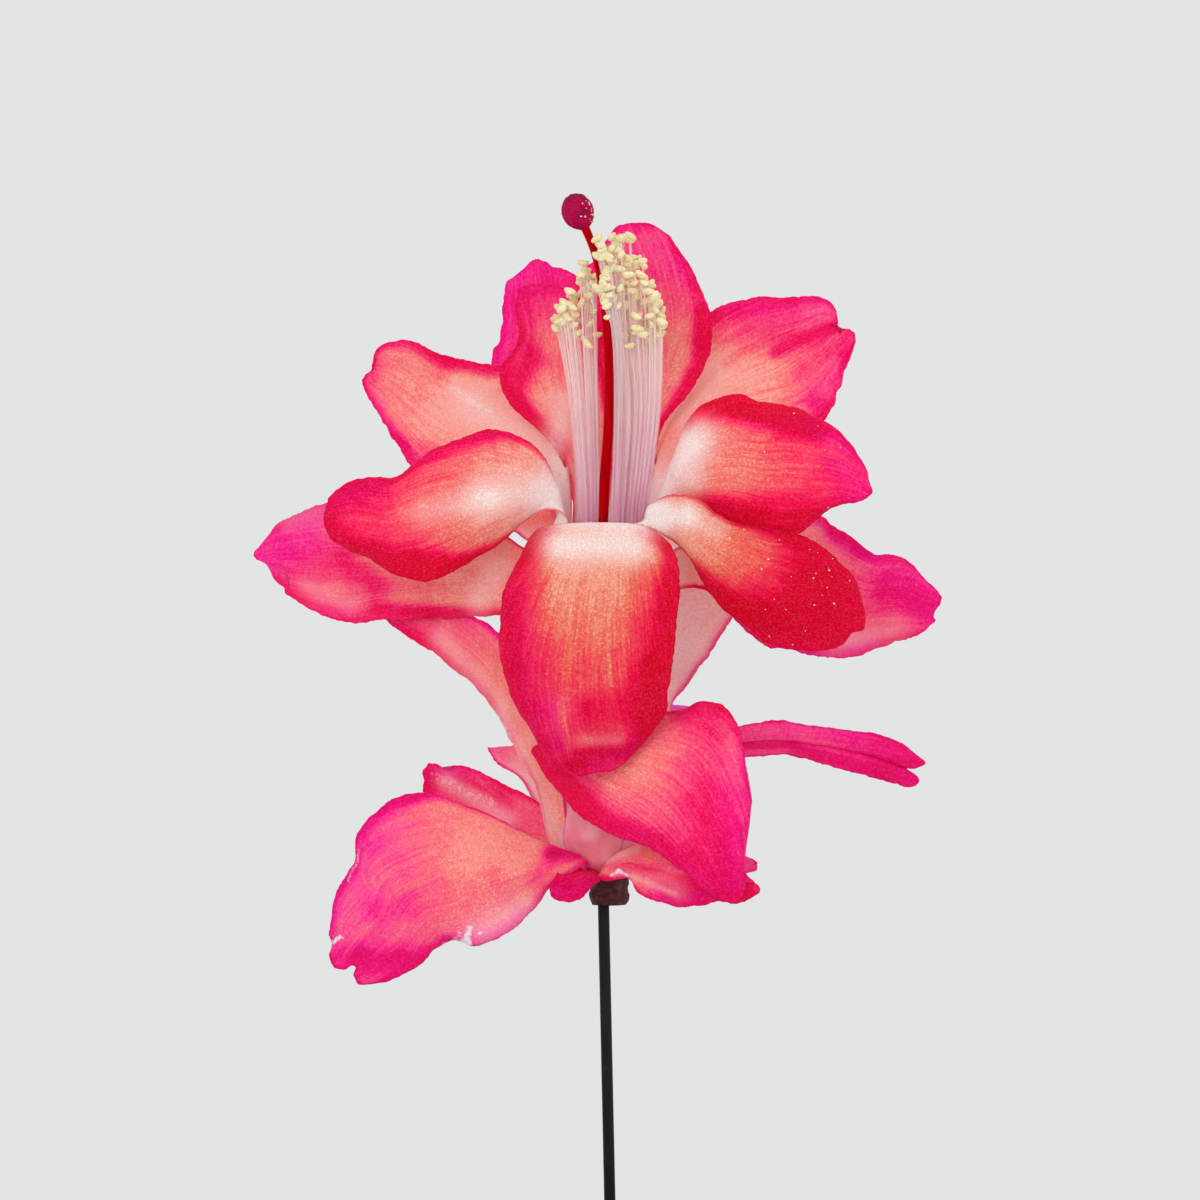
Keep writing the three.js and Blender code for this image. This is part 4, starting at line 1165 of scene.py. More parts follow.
            (1, 13.4, 7, 15, 2.4, -0.15), (12.6, 3, 13.6, 1.4, 1.6, 0.4), (9, 14, 12, 6, 2.6, 0.2),
            (9, 19.4, 12, 18, 1.6, 0.25),
        ),
        cool=((14.4, 15, 14, 3, 2.2, 0.6), (2, 7.6, 10, 3, 1.4, 0.35)),
    ),
    Petal(
        "outer_left", Tone.PINK, wall=(186, 34), foot=(0, 0.3, 2.4), wave=(0.4, 2.6, 0.1), base=0.12,
        shape=Outline(
            right=(
                (-8.3, 37.6), (-10, 38.7), (-13, 40.4), (-17, 41.6), (-22, 42.4), (-26, 42.8), (-29, 42.5),
                (-31, 41.8), (-33, 40.8), (-34.6, 39.9), (-35.6, 38.8), (-36.3, 37.9),
            ),
            left=(
                (-8, 31), (-10.8, 30.5), (-15, 30.35), (-18, 30.3), (-20, 30.1), (-23, 29.9), (-25, 29.75),
                (-28, 30), (-30, 30.7), (-32, 31.8), (-32.9, 32.6), (-33.1, 33.2), (-33.7, 33.8),
                (-34.6, 34.8),
            ),
            tip=((-35.8, 35.8), (-36.8, 36.4), (-37, 36.9)), depth=(-1, 0.8, 2.8, 5.2, 8),
            bulge=(0, -0.2, -1, -1, -0.3),
        ),
        rims=((0.1, 0.1, 0.15, 0.24, 0.25), (0.1, 0.14, 0.24, 0.3, 0.3)), fade=(0.35, 1.0, 0.6),
        deep=(
            (-27.4, 36.4, -24, 33.6, 1.5, 0.45), (-24, 31.4, -11, 30.8, 0.7, 0.45),
            (-30, 38, -34, 38, 2.0, 0.15), (-24, 33.6, -17, 33.4, 1.0, 0.2),
        ),
        wash=(
            (-11.4, 35.6, -13, 32, 1.4, 0.35), (-31, 33.4, -26.6, 31.6, 1.0, 0.15),
            (-33, 40.6, -30, 41.6, 1.2, 0.12),
        ),
        cool=((-36, 37, -29, 40.6, 2.8, 1.1), (-30, 31, -27, 30.4, 1.2, 0.4)),
    ),
    Petal(
        "outer_right", Tone.PINK, wall=(2, 34), foot=(0, -0.3, -1.8), wave=(0.4, 2.8, 0.5), pale=0.12,
        shape=Outline(
            right=(
                (7.6, 33.1), (10.6, 33.1), (13, 31), (15.3, 28.8), (17.6, 27.1), (19.5, 26.9), (21.5, 26.4),
                (23, 26.15), (25, 26.1), (27.3, 26.4), (28.2, 26.9), (29.8, 27.3), (30.6, 27.8), (32, 28),
                (33.4, 28.6), (34.3, 29.2),
            ),
            left=(
                (7.4, 37.4), (9, 38), (13, 39), (17, 39.4), (20, 40.4), (22, 41.2), (23.3, 40.8), (24, 40.1),
                (26, 38.9), (27, 38), (28.7, 37), (29.9, 36.95), (31, 36.7), (32.5, 35.9), (34, 34.3),
                (35.1, 33),
            ),
            tip=((35.75, 32.4), (35.2, 31), (34.9, 30.5), (35.1, 30)), depth=(1, 2.6, 4.6, 7, 9.4),
            bulge=(0, -0.2, -1, -1, -0.3),
        ),
        rims=((0.14, 0.2, 0.2, 0.25, 0.25), (0.1, 0.2, 0.2, 0.25, 0.25)), fade=(0.25, 0.9, 0.6),
        deep=((30, 33.4, 34, 31.4, 1.9, 0.55), (24, 39, 27, 37, 0.9, 0.35), (8, 33.4, 10.6, 33.3, 0.4, 0.6)),
        cool=((31, 34, 35, 31, 2.6, 0.9), (22, 40, 28, 36.6, 1.6, 0.8), (20, 27, 28, 27, 1.6, 0.9)),
        wash=((24, 27.4, 31, 29, 1.3, 0.16),),
    ),
    Petal(
        "mid_left", Tone.PINK, wall=(200, 5.4), foot=(0.9, -1.0, 0.2), wave=(0.25, 2, 0.2), base=0.12,
        shape=Outline(
            right=(
                (-4.2, 12), (-5, 17), (-6.4, 20.4), (-8.4, 24.6), (-10.9, 28.5), (-12, 29.4), (-13.5, 30.3),
                (-16, 32), (-20, 34.4), (-23.5, 36),
            ),
            left=(
                (-5.8, 6.6), (-6.1, 8.2), (-6.7, 10.5), (-7.2, 12.4), (-8, 14.2), (-9, 15.9), (-9.9, 17.6),
                (-10.6, 19.2), (-12, 21.3), (-14, 23.4), (-16, 25), (-18, 26.7), (-19.5, 27.6), (-21, 28.5),
                (-23, 30), (-25, 31.8),
            ),
            tip=((-26, 33.5), (-25.3, 35.2)), depth=(-4.4, -3.4, -1.4, 2, 6),
            bulge=(0, -0.3, -0.6, -0.6, -0.3),
        ),
        rims=((0.14, 0.14, 0.16, 0.24, 0.3), (0.2, 0.3, 0.4, 0.4, 0.4)), fade=(0.3, 0.9, 0.5),
        deep=((-9.6, 18, -20, 28.4, 1.0, 0.25),),
        wash=((-6.4, 8, -11, 19, 1.4, 0.5), (-11, 21, -17, 28, 1.2, 0.25)),
        cool=((-10.8, 28.4, -15, 31.2, 0.9, 1.0), (-6.4, 9, -10, 18, 0.5, 0.5)),
    ),
    Petal(
        "mid_right", Tone.MAGENTA, wall=(14, 8.5), foot=(0.3, -1.5, 0), wave=(0.25, 2, 0.7), pale=1.5,
        shape=Outline(
            right=(
                (6.6, 13), (6.9, 18), (7.6, 21.9), (8.1, 22.4), (9.3, 23.8), (10, 24.9), (11, 26.1),
                (12, 27.8), (13, 29.2), (14.4, 31.4), (15.6, 34),
            ),
            left=((3, 12), (3, 18), (3.5, 24), (5, 30), (8, 35), (11, 38)), tip=((13.4, 38.4), (15.4, 36.6)),
            depth=(2.4, 3.6, 5, 7.4, 10.4), bulge=(0, -0.3, -0.8, -0.8, -0.3),
        ),
        rims=((0.1, 0.1, 0.14, 0.16, 0.16), (0.1,) * 5), fade=(0.9, 1.3, 0.3), base=-0.3,
        deep=((7.6, 22, 13.6, 30.2, 0.35, 0.35),), cool=((7.6, 22, 13.6, 30.2, 1.6, 1.1),),
    ),
    Petal(
        "low_left", Tone.MAGENTA, wall=(232, 4.4), foot=(-0.5, 0.5, 0.8), wave=(0.4, 2.4, 0.4), base=0.1,
        shape=Outline(
            right=(
                (-5.5, 6.2), (-7, 6.6), (-9, 7.6), (-11, 8.6), (-13, 9.8), (-15, 10.9), (-17, 11.8),
                (-19, 12), (-21, 11.5), (-22.2, 11), (-23.6, 10), (-25, 8.7), (-26, 7.1), (-26.1, 6.2),
                (-26, 5), (-27, 3.3), (-27.8, 2.3), (-28.4, 0.8), (-28.8, -1.6), (-28.9, -3.2),
            ),
            left=(
                (-1.6, 4.4), (-3, 3.6), (-5.4, 2), (-6, 1), (-7, -0.3), (-8, -1.2), (-10, -2.7), (-12, -3.7),
                (-13.8, -4.3), (-15, -4), (-16.2, -4), (-17, -4.4), (-18, -5), (-19, -6.1), (-21, -7.2),
                (-23, -8), (-24.6, -8.35),
            ),
            tip=(
                (-25.8, -8.2), (-26.2, -7.4), (-26, -6.4), (-26.5, -6.3), (-27.4, -6.75), (-28.2, -6.5),
                (-28.7, -5.3), (-28.4, -4.5), (-28.6, -4),
            ),
            depth=(-7, -9.6, -11, -11, -10), bulge=(0, 1.0, 1.8, 1.6, 0.8, 0.2), lean=(0, 1, 1, 0),
        ),
        rims=((0.1, 0.1, 0.14, 0.2, 0.25), (0.3, 0.2, 0.2, 0.2, 0.2)), fade=(0.3, 0.9, 0.35),
        deep=(
            (-24, -0.6, -20.6, 0.2, 1.6, 0.26), (-27.6, -5.4, -26, -5.6, 1.2, 0.4),
            (-25, -6, -21, -5.6, 1.7, 0.6), (-7.4, 2.4, -5.8, 4.8, 1.2, 0.4),
            (-5.6, 5.4, -2.6, 5.2, 0.8, 0.9), (-14, 6.6, -9, 5, 2.0, -0.1), (-16, 4, -13, 5, 1.6, -0.12),
            (-20, 9, -24, 6, 3.0, 0.12), (-10, 1, -12, 3, 1.4, 0.15), (-24, 10, -19, 11.6, 0.8, 0.3),
            (-24, 6, -18, 2, 3.0, 0.12),
        ),
        cool=((-26, 0, -24, 8, 4.6, 0.4), (-10, -1.6, -14, -3.2, 2.4, 0.8)),
        wash=((-8.4, -0.2, -12.6, -3, 1.4, 0.25),),
        torn=(
            (-14.5, -3.8, -14.1, -2.4, 0.42, 0.9), (-16.6, -4.2, -14.2, -4, 0.4, 1.0),
            (-15.6, -3.6, -15.2, -2.9, 0.2, 0.8), (-25.9, 4.4, -25.6, 6.6, 0.3, 0.45),
            (-26.8, 2.6, -26.2, 4, 0.3, 0.5), (-28.4, -3.9, -27.6, -3.3, 0.25, 1.0),
            (-13, -3, -12.8, -2.9, 0.25, 0.9),
        ),
    ),
    Petal(
        "low_right", Tone.PINK, lobe=(-0.1, -4.2, 3.8), foot=(-0.6, 0, -0.7), wave=(0.35, 2.4, 0.1),
        shape=Outline(
            right=(
                (0.4, 2.5), (1.6, 2.7), (2.7, 2.7), (3.2, 1.9), (4, 1.2), (6, 0.3), (8, -0.25), (10, 0),
                (12, 0.6), (14, 0.2), (15.3, 0.4), (16.3, 0.9),
            ),
            left=((0.4, 4.5), (1.4, 5.3), (2.7, 6.1), (5, 6.8), (8, 6), (11, 4.6), (13.4, 3.8), (15, 3.2)),
            tip=((15.9, 2.4), (16.5, 1.6)), depth=(-6, -8.4, -9.8, -10, -9.6), bulge=(0, 0.6, 1.2, 1, 0.3),
            lean=(0, 2, 1, 0),
        ),
        rims=((0.3, 0.2, 0.24, 0.3, 0.4), (0.1, 0.1, 0.1, 0.1, 0.3)), base=0.3, fade=(0.2, 0.9, 0.4),
        deep=((0.5, 4.4, 6, 3.6, 0.7, 0.3), (7, 1.6, 15, 1, 1.2, 0.65), (0, 2.9, 0.6, 2.7, 0.4, 0.6)),
        wash=((0.6, 4.7, 3.6, 6, 0.5, 0.4), (3, 3, 7.6, 1.2, 0.3, 0.22), (8, 1.5, 6, 3, 1.0, 0.1)),
        cool=((6, 0.6, 12, 1, 1.2, 0.7), (2.6, 3.2, 2.8, 2.8, 0.4, 1.0)),
        torn=((0.9, 3.1, 1.7, 3.6, 0.2, 0.8), (1.7, 3.6, 2.7, 3.1, 0.2, 0.8)),
        creases=((0.1, -0.2, 0.35, 0.1),),
    ),
    Petal(
        "low_front", Tone.CRIMSON, wall=(258, 3.6), rims=((0.8,), (0.8,)), base=0.7, wave=(0.2, 1.6, 0),
        shape=Spine(
            via=((-2.2, -5.2, 3.2), (-3.8, -7, 2.4), (-5.5, -7, 1.8)),
            face=((0, -0.6, 0.8), (0, -0.8, 0.6), (0, -0.9, 0.3)), right=(1, 1.9, 2.2, 2, 1.3),
            left=(1, 1.5, 1.8, 1.7, 1.2), cup=(0, 0),
        ),
        cool=((-5, 1, -1, 2, 2.4, 0.9),),
    ),
    Petal(
        "far_right", Tone.MAGENTA, wall=(24, 12.4), foot=(0, -0.6, -1.6), wave=(0.3, 2.4, 0.3),
        shape=Outline(
            right=(
                (8, 11.6), (11, 13.6), (14.7, 15.5), (17, 15.6), (20, 15.5), (22, 15.1), (25, 14.4),
                (27, 13.8), (29.2, 13.1), (31, 12.6), (32, 12.4), (32.9, 12.5),
            ),
            left=(
                (8, 15), (11, 17.6), (14.1, 18.8), (16, 19.1), (18.5, 19.25), (20, 19.05), (24, 18.7),
                (26, 18.4), (29, 17.9), (31, 17.1), (32, 16.4), (33, 15.7),
            ),
            tip=((33.9, 15), (33, 14.4), (32, 14.3), (33, 13.6), (33.3, 13.1)), depth=(3, 4.6, 6, 7, 7),
            bulge=(0, 0.4, 0.4, 0.4, 0.2),
        ),
        rims=((0.1, 0.1, 0.15, 0.2, 0.3), (0.1, 0.1, 0.15, 0.2, 0.3)), base=0.55, fade=(0.4, 1.0, 0.4),
        # The two strokes along the fold, from x 14.4 to 30, are painted shade on the dark underside below the
        # fold.
        deep=(
            (14.4, 16.6, 20, 17, 0.35, 0.6), (20, 16.8, 30, 13.6, 0.45, 0.5), (29, 14.6, 33, 14.6, 1.0, 0.3),
        ),
        cool=((14, 18.6, 28, 18, 0.9, 0.5),), creases=((0.25, -0.2, 0.5, 0.12),),
    ),
    Petal(
        "low_back_left", Tone.PINK, wall=(150, 4.6), foot=(0, 0.8, 1.4), wave=(0.3, 2.2, 0.6), base=0.48,
        shape=Outline(
            right=(
                (-5, 9.6), (-7, 11), (-9, 11.9), (-11, 13), (-13, 14), (-15, 14.6), (-16.6, 14.4),
                (-17.6, 14.9),
            ),
            left=((-5, 5.5), (-8, 6.5), (-12, 8), (-15, 9.8), (-17.4, 11.2), (-19, 11.9)),
            tip=((-18.9, 13), (-19.1, 14), (-18.4, 14.9)), depth=(4, 6, 7.6, 8.6, 9),
            bulge=(0, -0.4, -0.6, -0.4, 0),
        ),
        rims=((0.2, 0.2, 0.3, 0.3, 0.3), (0.1, 0.1, 0.1, 0.1, 0.3)), fade=(0.5, 1.0, 0.3),
        deep=((-15, 13.2, -10, 11, 0.9, 0.25), (-18.8, 14.4, -18.4, 12.4, 0.9, 0.5)),
        wash=((-16.6, 13, -10, 9, 0.9, 0.3),),
        cool=((-18.8, 14, -12, 14, 1.2, 0.7), (-8, 9, -10, 9, 1.6, 0.4)),
        torn=((-17.6, 13.4, -11.6, 10.8, 0.9, 0.42),),
    ),
    Petal(
        "rear_outer", Tone.PINK, wall=(92, 38), wave=(0.3, 2.4, 0.7), pale=0.2, fade=(0.2, 1.0, 0.5),
        base=0.3,
        shape=Outline(
            right=((1.5, 46), (1.6, 53), (0.8, 58), (-0.6, 62), (-2.2, 65.8)),
            left=(
                (-4, 44), (-8, 50), (-11, 54.5), (-11.7, 57), (-11.6, 58.2), (-11, 59), (-10.8, 60.5),
                (-10.6, 62.4), (-10.5, 64), (-10.2, 65.7),
            ),
            tip=(
                (-9.2, 66.3), (-8.5, 66.8), (-7.7, 67.8), (-7, 68.1), (-6, 67.8), (-5, 67.1), (-4.3, 67),
                (-3, 66.3),
            ),
            depth=(9, 12, 15, 18, 19.6), bulge=(0, -0.6, -1.2, -0.8, -0.2),
        ),
        rims=((0.2,), (0.12,)), cool=((-11, 56, -10.2, 65, 2.2, 1.1), (-9, 66.6, -4, 66.6, 1.6, 0.9)),
    ),
    Petal(
        "mid_back", Tone.ORCHID, wall=(84, 13), rims=((0.4,), (0.4,)), pale=0.1, wave=(0.3, 2.2, 0.1),
        shape=Spine(
            via=((2.3, 10, 18.6), (4.5, 16, 20.6), (5, 24, 18.5)),
            face=((0, -0.2, 1), (0, 0.2, 1), (0, 0.6, 0.8)), right=(1.8, 4.2, 5, 4.8, 3.6),
            left=(1.8, 4.4, 5.4, 5.4, 4), cup=(-0.1, -0.1, 0),
        ),
    ),
    Petal(
        "low_back", Tone.PINK, wall=(112, 5), pale=0.85, wave=(0.3, 2, 0.4), fade=(0.4, 1.1, 0.5),
        rims=((0.2,), (0.2,)),
        shape=Spine(
            via=((-4.7, 11, 10.4), (-8.5, 15, 14), (-12.4, 19, 15.8)),
            face=((0, -0.5, 0.8), (0, -0.5, 0.8), (0, -0.5, 0.8)), right=(1.5, 3, 3, 2.4, 1.4),
            left=(1.5, 2.8, 2.6, 2, 1.4), cup=(0.2, 0.2, 0.1),
        ),
        cool=((-12, 15.4, -6, 12, 2.5, 1.0),),
    ),
    Petal(
        "back_left", Tone.MAGENTA, wall=(130, 35), wave=(0.4, 2.4, 0.3), pale=0.3,
        shape=Spine(
            via=((-8.5, 12, 41), (-12, 20, 44), (-14, 27.5, 42.5)),
            face=((0.3, -0.5, 0.8), (0, -0.3, 0.9), (0, -0.1, 1)), right=(1.6, 3.4, 5.2, 5.4, 3.8),
            left=(1.6, 3.4, 5, 5.2, 3.8), cup=(0.2, 0.2, 0),
        ),
    ),
    Petal(
        "back_right", Tone.MAGENTA, wall=(46, 35), wave=(0.4, 2.2, 0.8), pale=0.3,
        shape=Spine(
            via=((9.5, 12, 41), (14, 20, 44.5), (17, 27.5, 43.5)),
            face=((-0.3, -0.5, 0.8), (0, -0.3, 0.9), (0, -0.1, 1)), right=(1.6, 3.4, 5, 5.2, 3.6),
            left=(1.6, 3.4, 5.2, 5.4, 3.6), cup=(0.2, 0.2, 0),
        ),
    ),
    Petal(
        "low_back_right", Tone.MAGENTA, wall=(40, 4.6), pale=0.2, wave=(0.4, 2.2, 0.2),
        shape=Spine(
            via=((6.5, 8, 5.3), (11.5, 11, 4.2), (16.6, 11, 3.4)),
            face=((-0.1, -0.3, 0.9), (0, -0.3, 0.9), (0, -0.3, 0.9)), right=(1.5, 3.6, 5, 5, 2.6),
            left=(1.5, 3.6, 5, 5, 2.6), cup=(0, 0),
        ),
    ),
)
INNER = (
    "front", "left", "lower_right", "right", "rear_right", "rear_left", "upper_left", "upper_right",
    "mid_front",
)


@dataclass
class Corolla:
    """All the petals, one finish for each tone."""

    first_seed: int = 20

    def build(self) -> dict[str, Object]:
        """Makes and dresses every petal.

        Returns:
            The petals by name.
        """
        finishes = {tone: tone.value.build() for tone in Tone}
        made = {}
        for number, petal in enumerate(PETALS):
            blade = PetalBuilder(petal, self.first_seed + number).build()
            slot = "petal" if petal.name in INNER else "petal_magenta"
            made[petal.name] = dress(blade, finishes[petal.tone], slot, f"petal_{petal.name}")
        return made


@dataclass
class GeometryTree:
    """A Geometry Nodes tree with named inputs, put on one object."""

    name: str
    sizes: dict[str, float | int]
    tree: NodeTree = field(init=False)
    start: Node = field(init=False)
    values: dict[str, float | int] = field(init=False, default_factory=dict)

    def __post_init__(self) -> None:
        """Makes the tree with its geometry sockets and one input for each size."""
        self.tree = bpy.data.node_groups.new(self.name, "GeometryNodeTree")
        for way in ("INPUT", "OUTPUT"):
            self.tree.interface.new_socket("Geometry", in_out=way, socket_type="NodeSocketGeometry")
        for name, value in self.sizes.items():
            kind = "NodeSocketInt" if isinstance(value, int) else "NodeSocketFloat"
            socket = self.tree.interface.new_socket(name, in_out="INPUT", socket_type=kind)
            self.values[socket.identifier] = value
        self.start = add(self.tree, "NodeGroupInput").node

    def read(self, name: str) -> NodeSocket:
        """Returns the socket of a named input."""
        return self.start.outputs[name]

    def finish(self, geometry: NodeSocket, material: Material) -> None:
        """Ends the tree in real, dressed geometry."""
        real = add(self.tree, "GeometryNodeRealizeInstances", {"Geometry": geometry})
        clad = add(self.tree, "GeometryNodeSetMaterial", {"Geometry": real, "Material": material})
        add(self.tree, "NodeGroupOutput", {"Geometry": clad})

    def apply(self, made: Object, name: str) -> Object:
        """Runs the tree on an object.

        Args:
            made: the object that carries the starting geometry, which is used up.
            name: the result's name.

        Returns:
            A plain mesh object.
        """
        modifier = made.modifiers.new(self.name, "NODES")
        modifier.node_group = self.tree
        for identifier, value in self.values.items():
            modifier[identifier] = value
        return taken(made, name)


@dataclass
class Grains:
    """Small grains such as pollen or soil crumbs, strewn where a surface's dust attribute lets them lie.

    density is their number to a square metre, size the usual radius in millimetres, stretch how much longer
    they are than wide, spread the smallest and greatest share of the size, and finer how often the faces of
    each are split.
    """

    density: float
    size: float
    seed: int
    stretch: float = 1.0
    spread: Pair = (0.45, 1.3)
    finer: int = 1

    def strew(self, name: str, ground: Object, material: Material) -> Object:
        """Strews the grains.

        Args:
            name: the new piece's name.
            ground: what they lie on, which stays as it is.
            material: the grains' finish.

        Returns:
            The grains as one mesh object.
        """
        sizes = {"Density": float(self.density), "Grain Size": self.size * MM, "Stretch": self.stretch}
        kit = GeometryTree(name + "_strewn", {**sizes, "Seed": self.seed})
        tree, seed = kit.tree, kit.read("Seed")
        mask = add(tree, "GeometryNodeInputNamedAttribute", {"Name": "dust"}, data_type="FLOAT")
        dense = add(tree, "Math", {0: mask, 1: kit.read("Density")}, operation="MULTIPLY")
        spots = add(
            tree, "GeometryNodeDistributePointsOnFaces",
            {"Mesh": kit.read("Geometry"), "Density": dense, "Seed": seed},
        )
        radius = kit.read("Grain Size")
        ball = add(tree, "GeometryNodeMeshIcoSphere", {"Radius": radius, "Subdivisions": self.finer})
        long = add(tree, "CombineXYZ", {0: 1.0, 1: 1.0, 2: kit.read("Stretch")})
        grain = add(tree, "GeometryNodeTransform", {"Geometry": ball, "Scale": long})
        about = {0: (0.0, 0.0, 0.0), 1: (6.28, 6.28, 6.28), "Seed": seed}
        turn = add(tree, "FunctionNodeRandomValue", about, data_type="FLOAT_VECTOR")
        small, large = self.spread
        scale = add(tree, "FunctionNodeRandomValue", {2: small, 3: large, "Seed": seed}, data_type="FLOAT")
        placed = {"Points": spots, "Instance": grain, "Rotation": turn, "Scale": scale}
        kit.finish(add(tree, "GeometryNodeInstanceOnPoints", placed), material)
        return kit.apply(linked(name + "_ground", ground.data.copy()), name)


@dataclass(frozen=True)
class PollenDust:
    """Pollen and anther sac: dry, powdery and matt, pale yellow, a little translucent at thin edges."""

    name: str = "pollen_pale_yellow"
    light: str = "#F8ECC2"
    dark: str = "#E2CC94"
    grain: float = 0.14

    def build(self) -> Material:
        """Makes the material.

        Returns:
            The pollen's material.
        """
        material, tree, place = new_material(self.name)
        powder = add(tree, "TexNoise", {"Vector": place, "Scale": per_mm(self.grain), "Detail": 3.0})
        clumps = add(tree, "TexNoise", {"Vector": place, "Scale": per_mm(0.9), "Detail": 2.0})
        both = add(tree, "Math", {0: powder, 1: clumps}, operation="ADD")
        half = add(tree, "Math", {0: both, 1: 0.5}, operation="MULTIPLY")
        colour = add(tree, "ValToRGB", {"Fac": half}, stops=[(0.38, self.dark), (0.56, self.light)])
        close_material(
            tree, colour, ((powder, 0.8, 0.06),), (powder, 0.75, 0.95), (0.2, 1.0, 0.9, 0.6, 0.4), IOR=1.45
        )
        return material


@dataclass(frozen=True)
class FilamentGlass:
    """Filament: a hair-thin stalk of clear cells, white with a pink foot, which lets the red through."""

    name: str = "filament_translucent_white"

    def build(self) -> Material:
        """Makes the material.

        Returns:
            The filaments' material, which reads the share attribute from root to tip.
        """
        material, tree, place = new_material(self.name)
        share = add(tree, "Attribute", attribute_name="share", out="Fac")
        streak = drawn_out(tree, place, 0.4, 6.0, 2.0)
        centred = add(tree, "Math", {0: streak, 1: 0.5}, operation="SUBTRACT")
        at = add(tree, "Math", {0: centred, 1: 0.9, 2: share}, operation="MULTIPLY_ADD")
        colour = add(
            tree, "ValToRGB", {"Fac": at},
            stops=[(0.2, "#F47CB0"), (0.42, "#FABED0"), (0.66, "#FED8DA"), (1.0, "#FFE0DA")],
        )
        close_material(
            tree, colour, ((streak, 0.3, 0.02),), (streak, 0.3, 0.45), (1.0, 1.0, 0.9, 0.92, 0.6), IOR=1.36,
            Specular_IOR_Level=0.2, Sheen_Weight=0.5, Sheen_Roughness=0.5, Sheen_Tint=linear("#FFD8E0"),
            Alpha=0.36,
        )
        return material


@dataclass(frozen=True)
class Brush:
    """One group of stamens: how many, and the room that they fill.

    reach, chest and foot are how far they lie to the left and right at the tips, at half height and in the
    throat. crown and hem are the highest and lowest tip at places from left to right, and depth is how far
    the tips lie in front and behind.
    """

    count: int
    reach: Pair
    chest: Pair
    foot: Pair
    crown: Row
    hem: Row
    depth: Pair


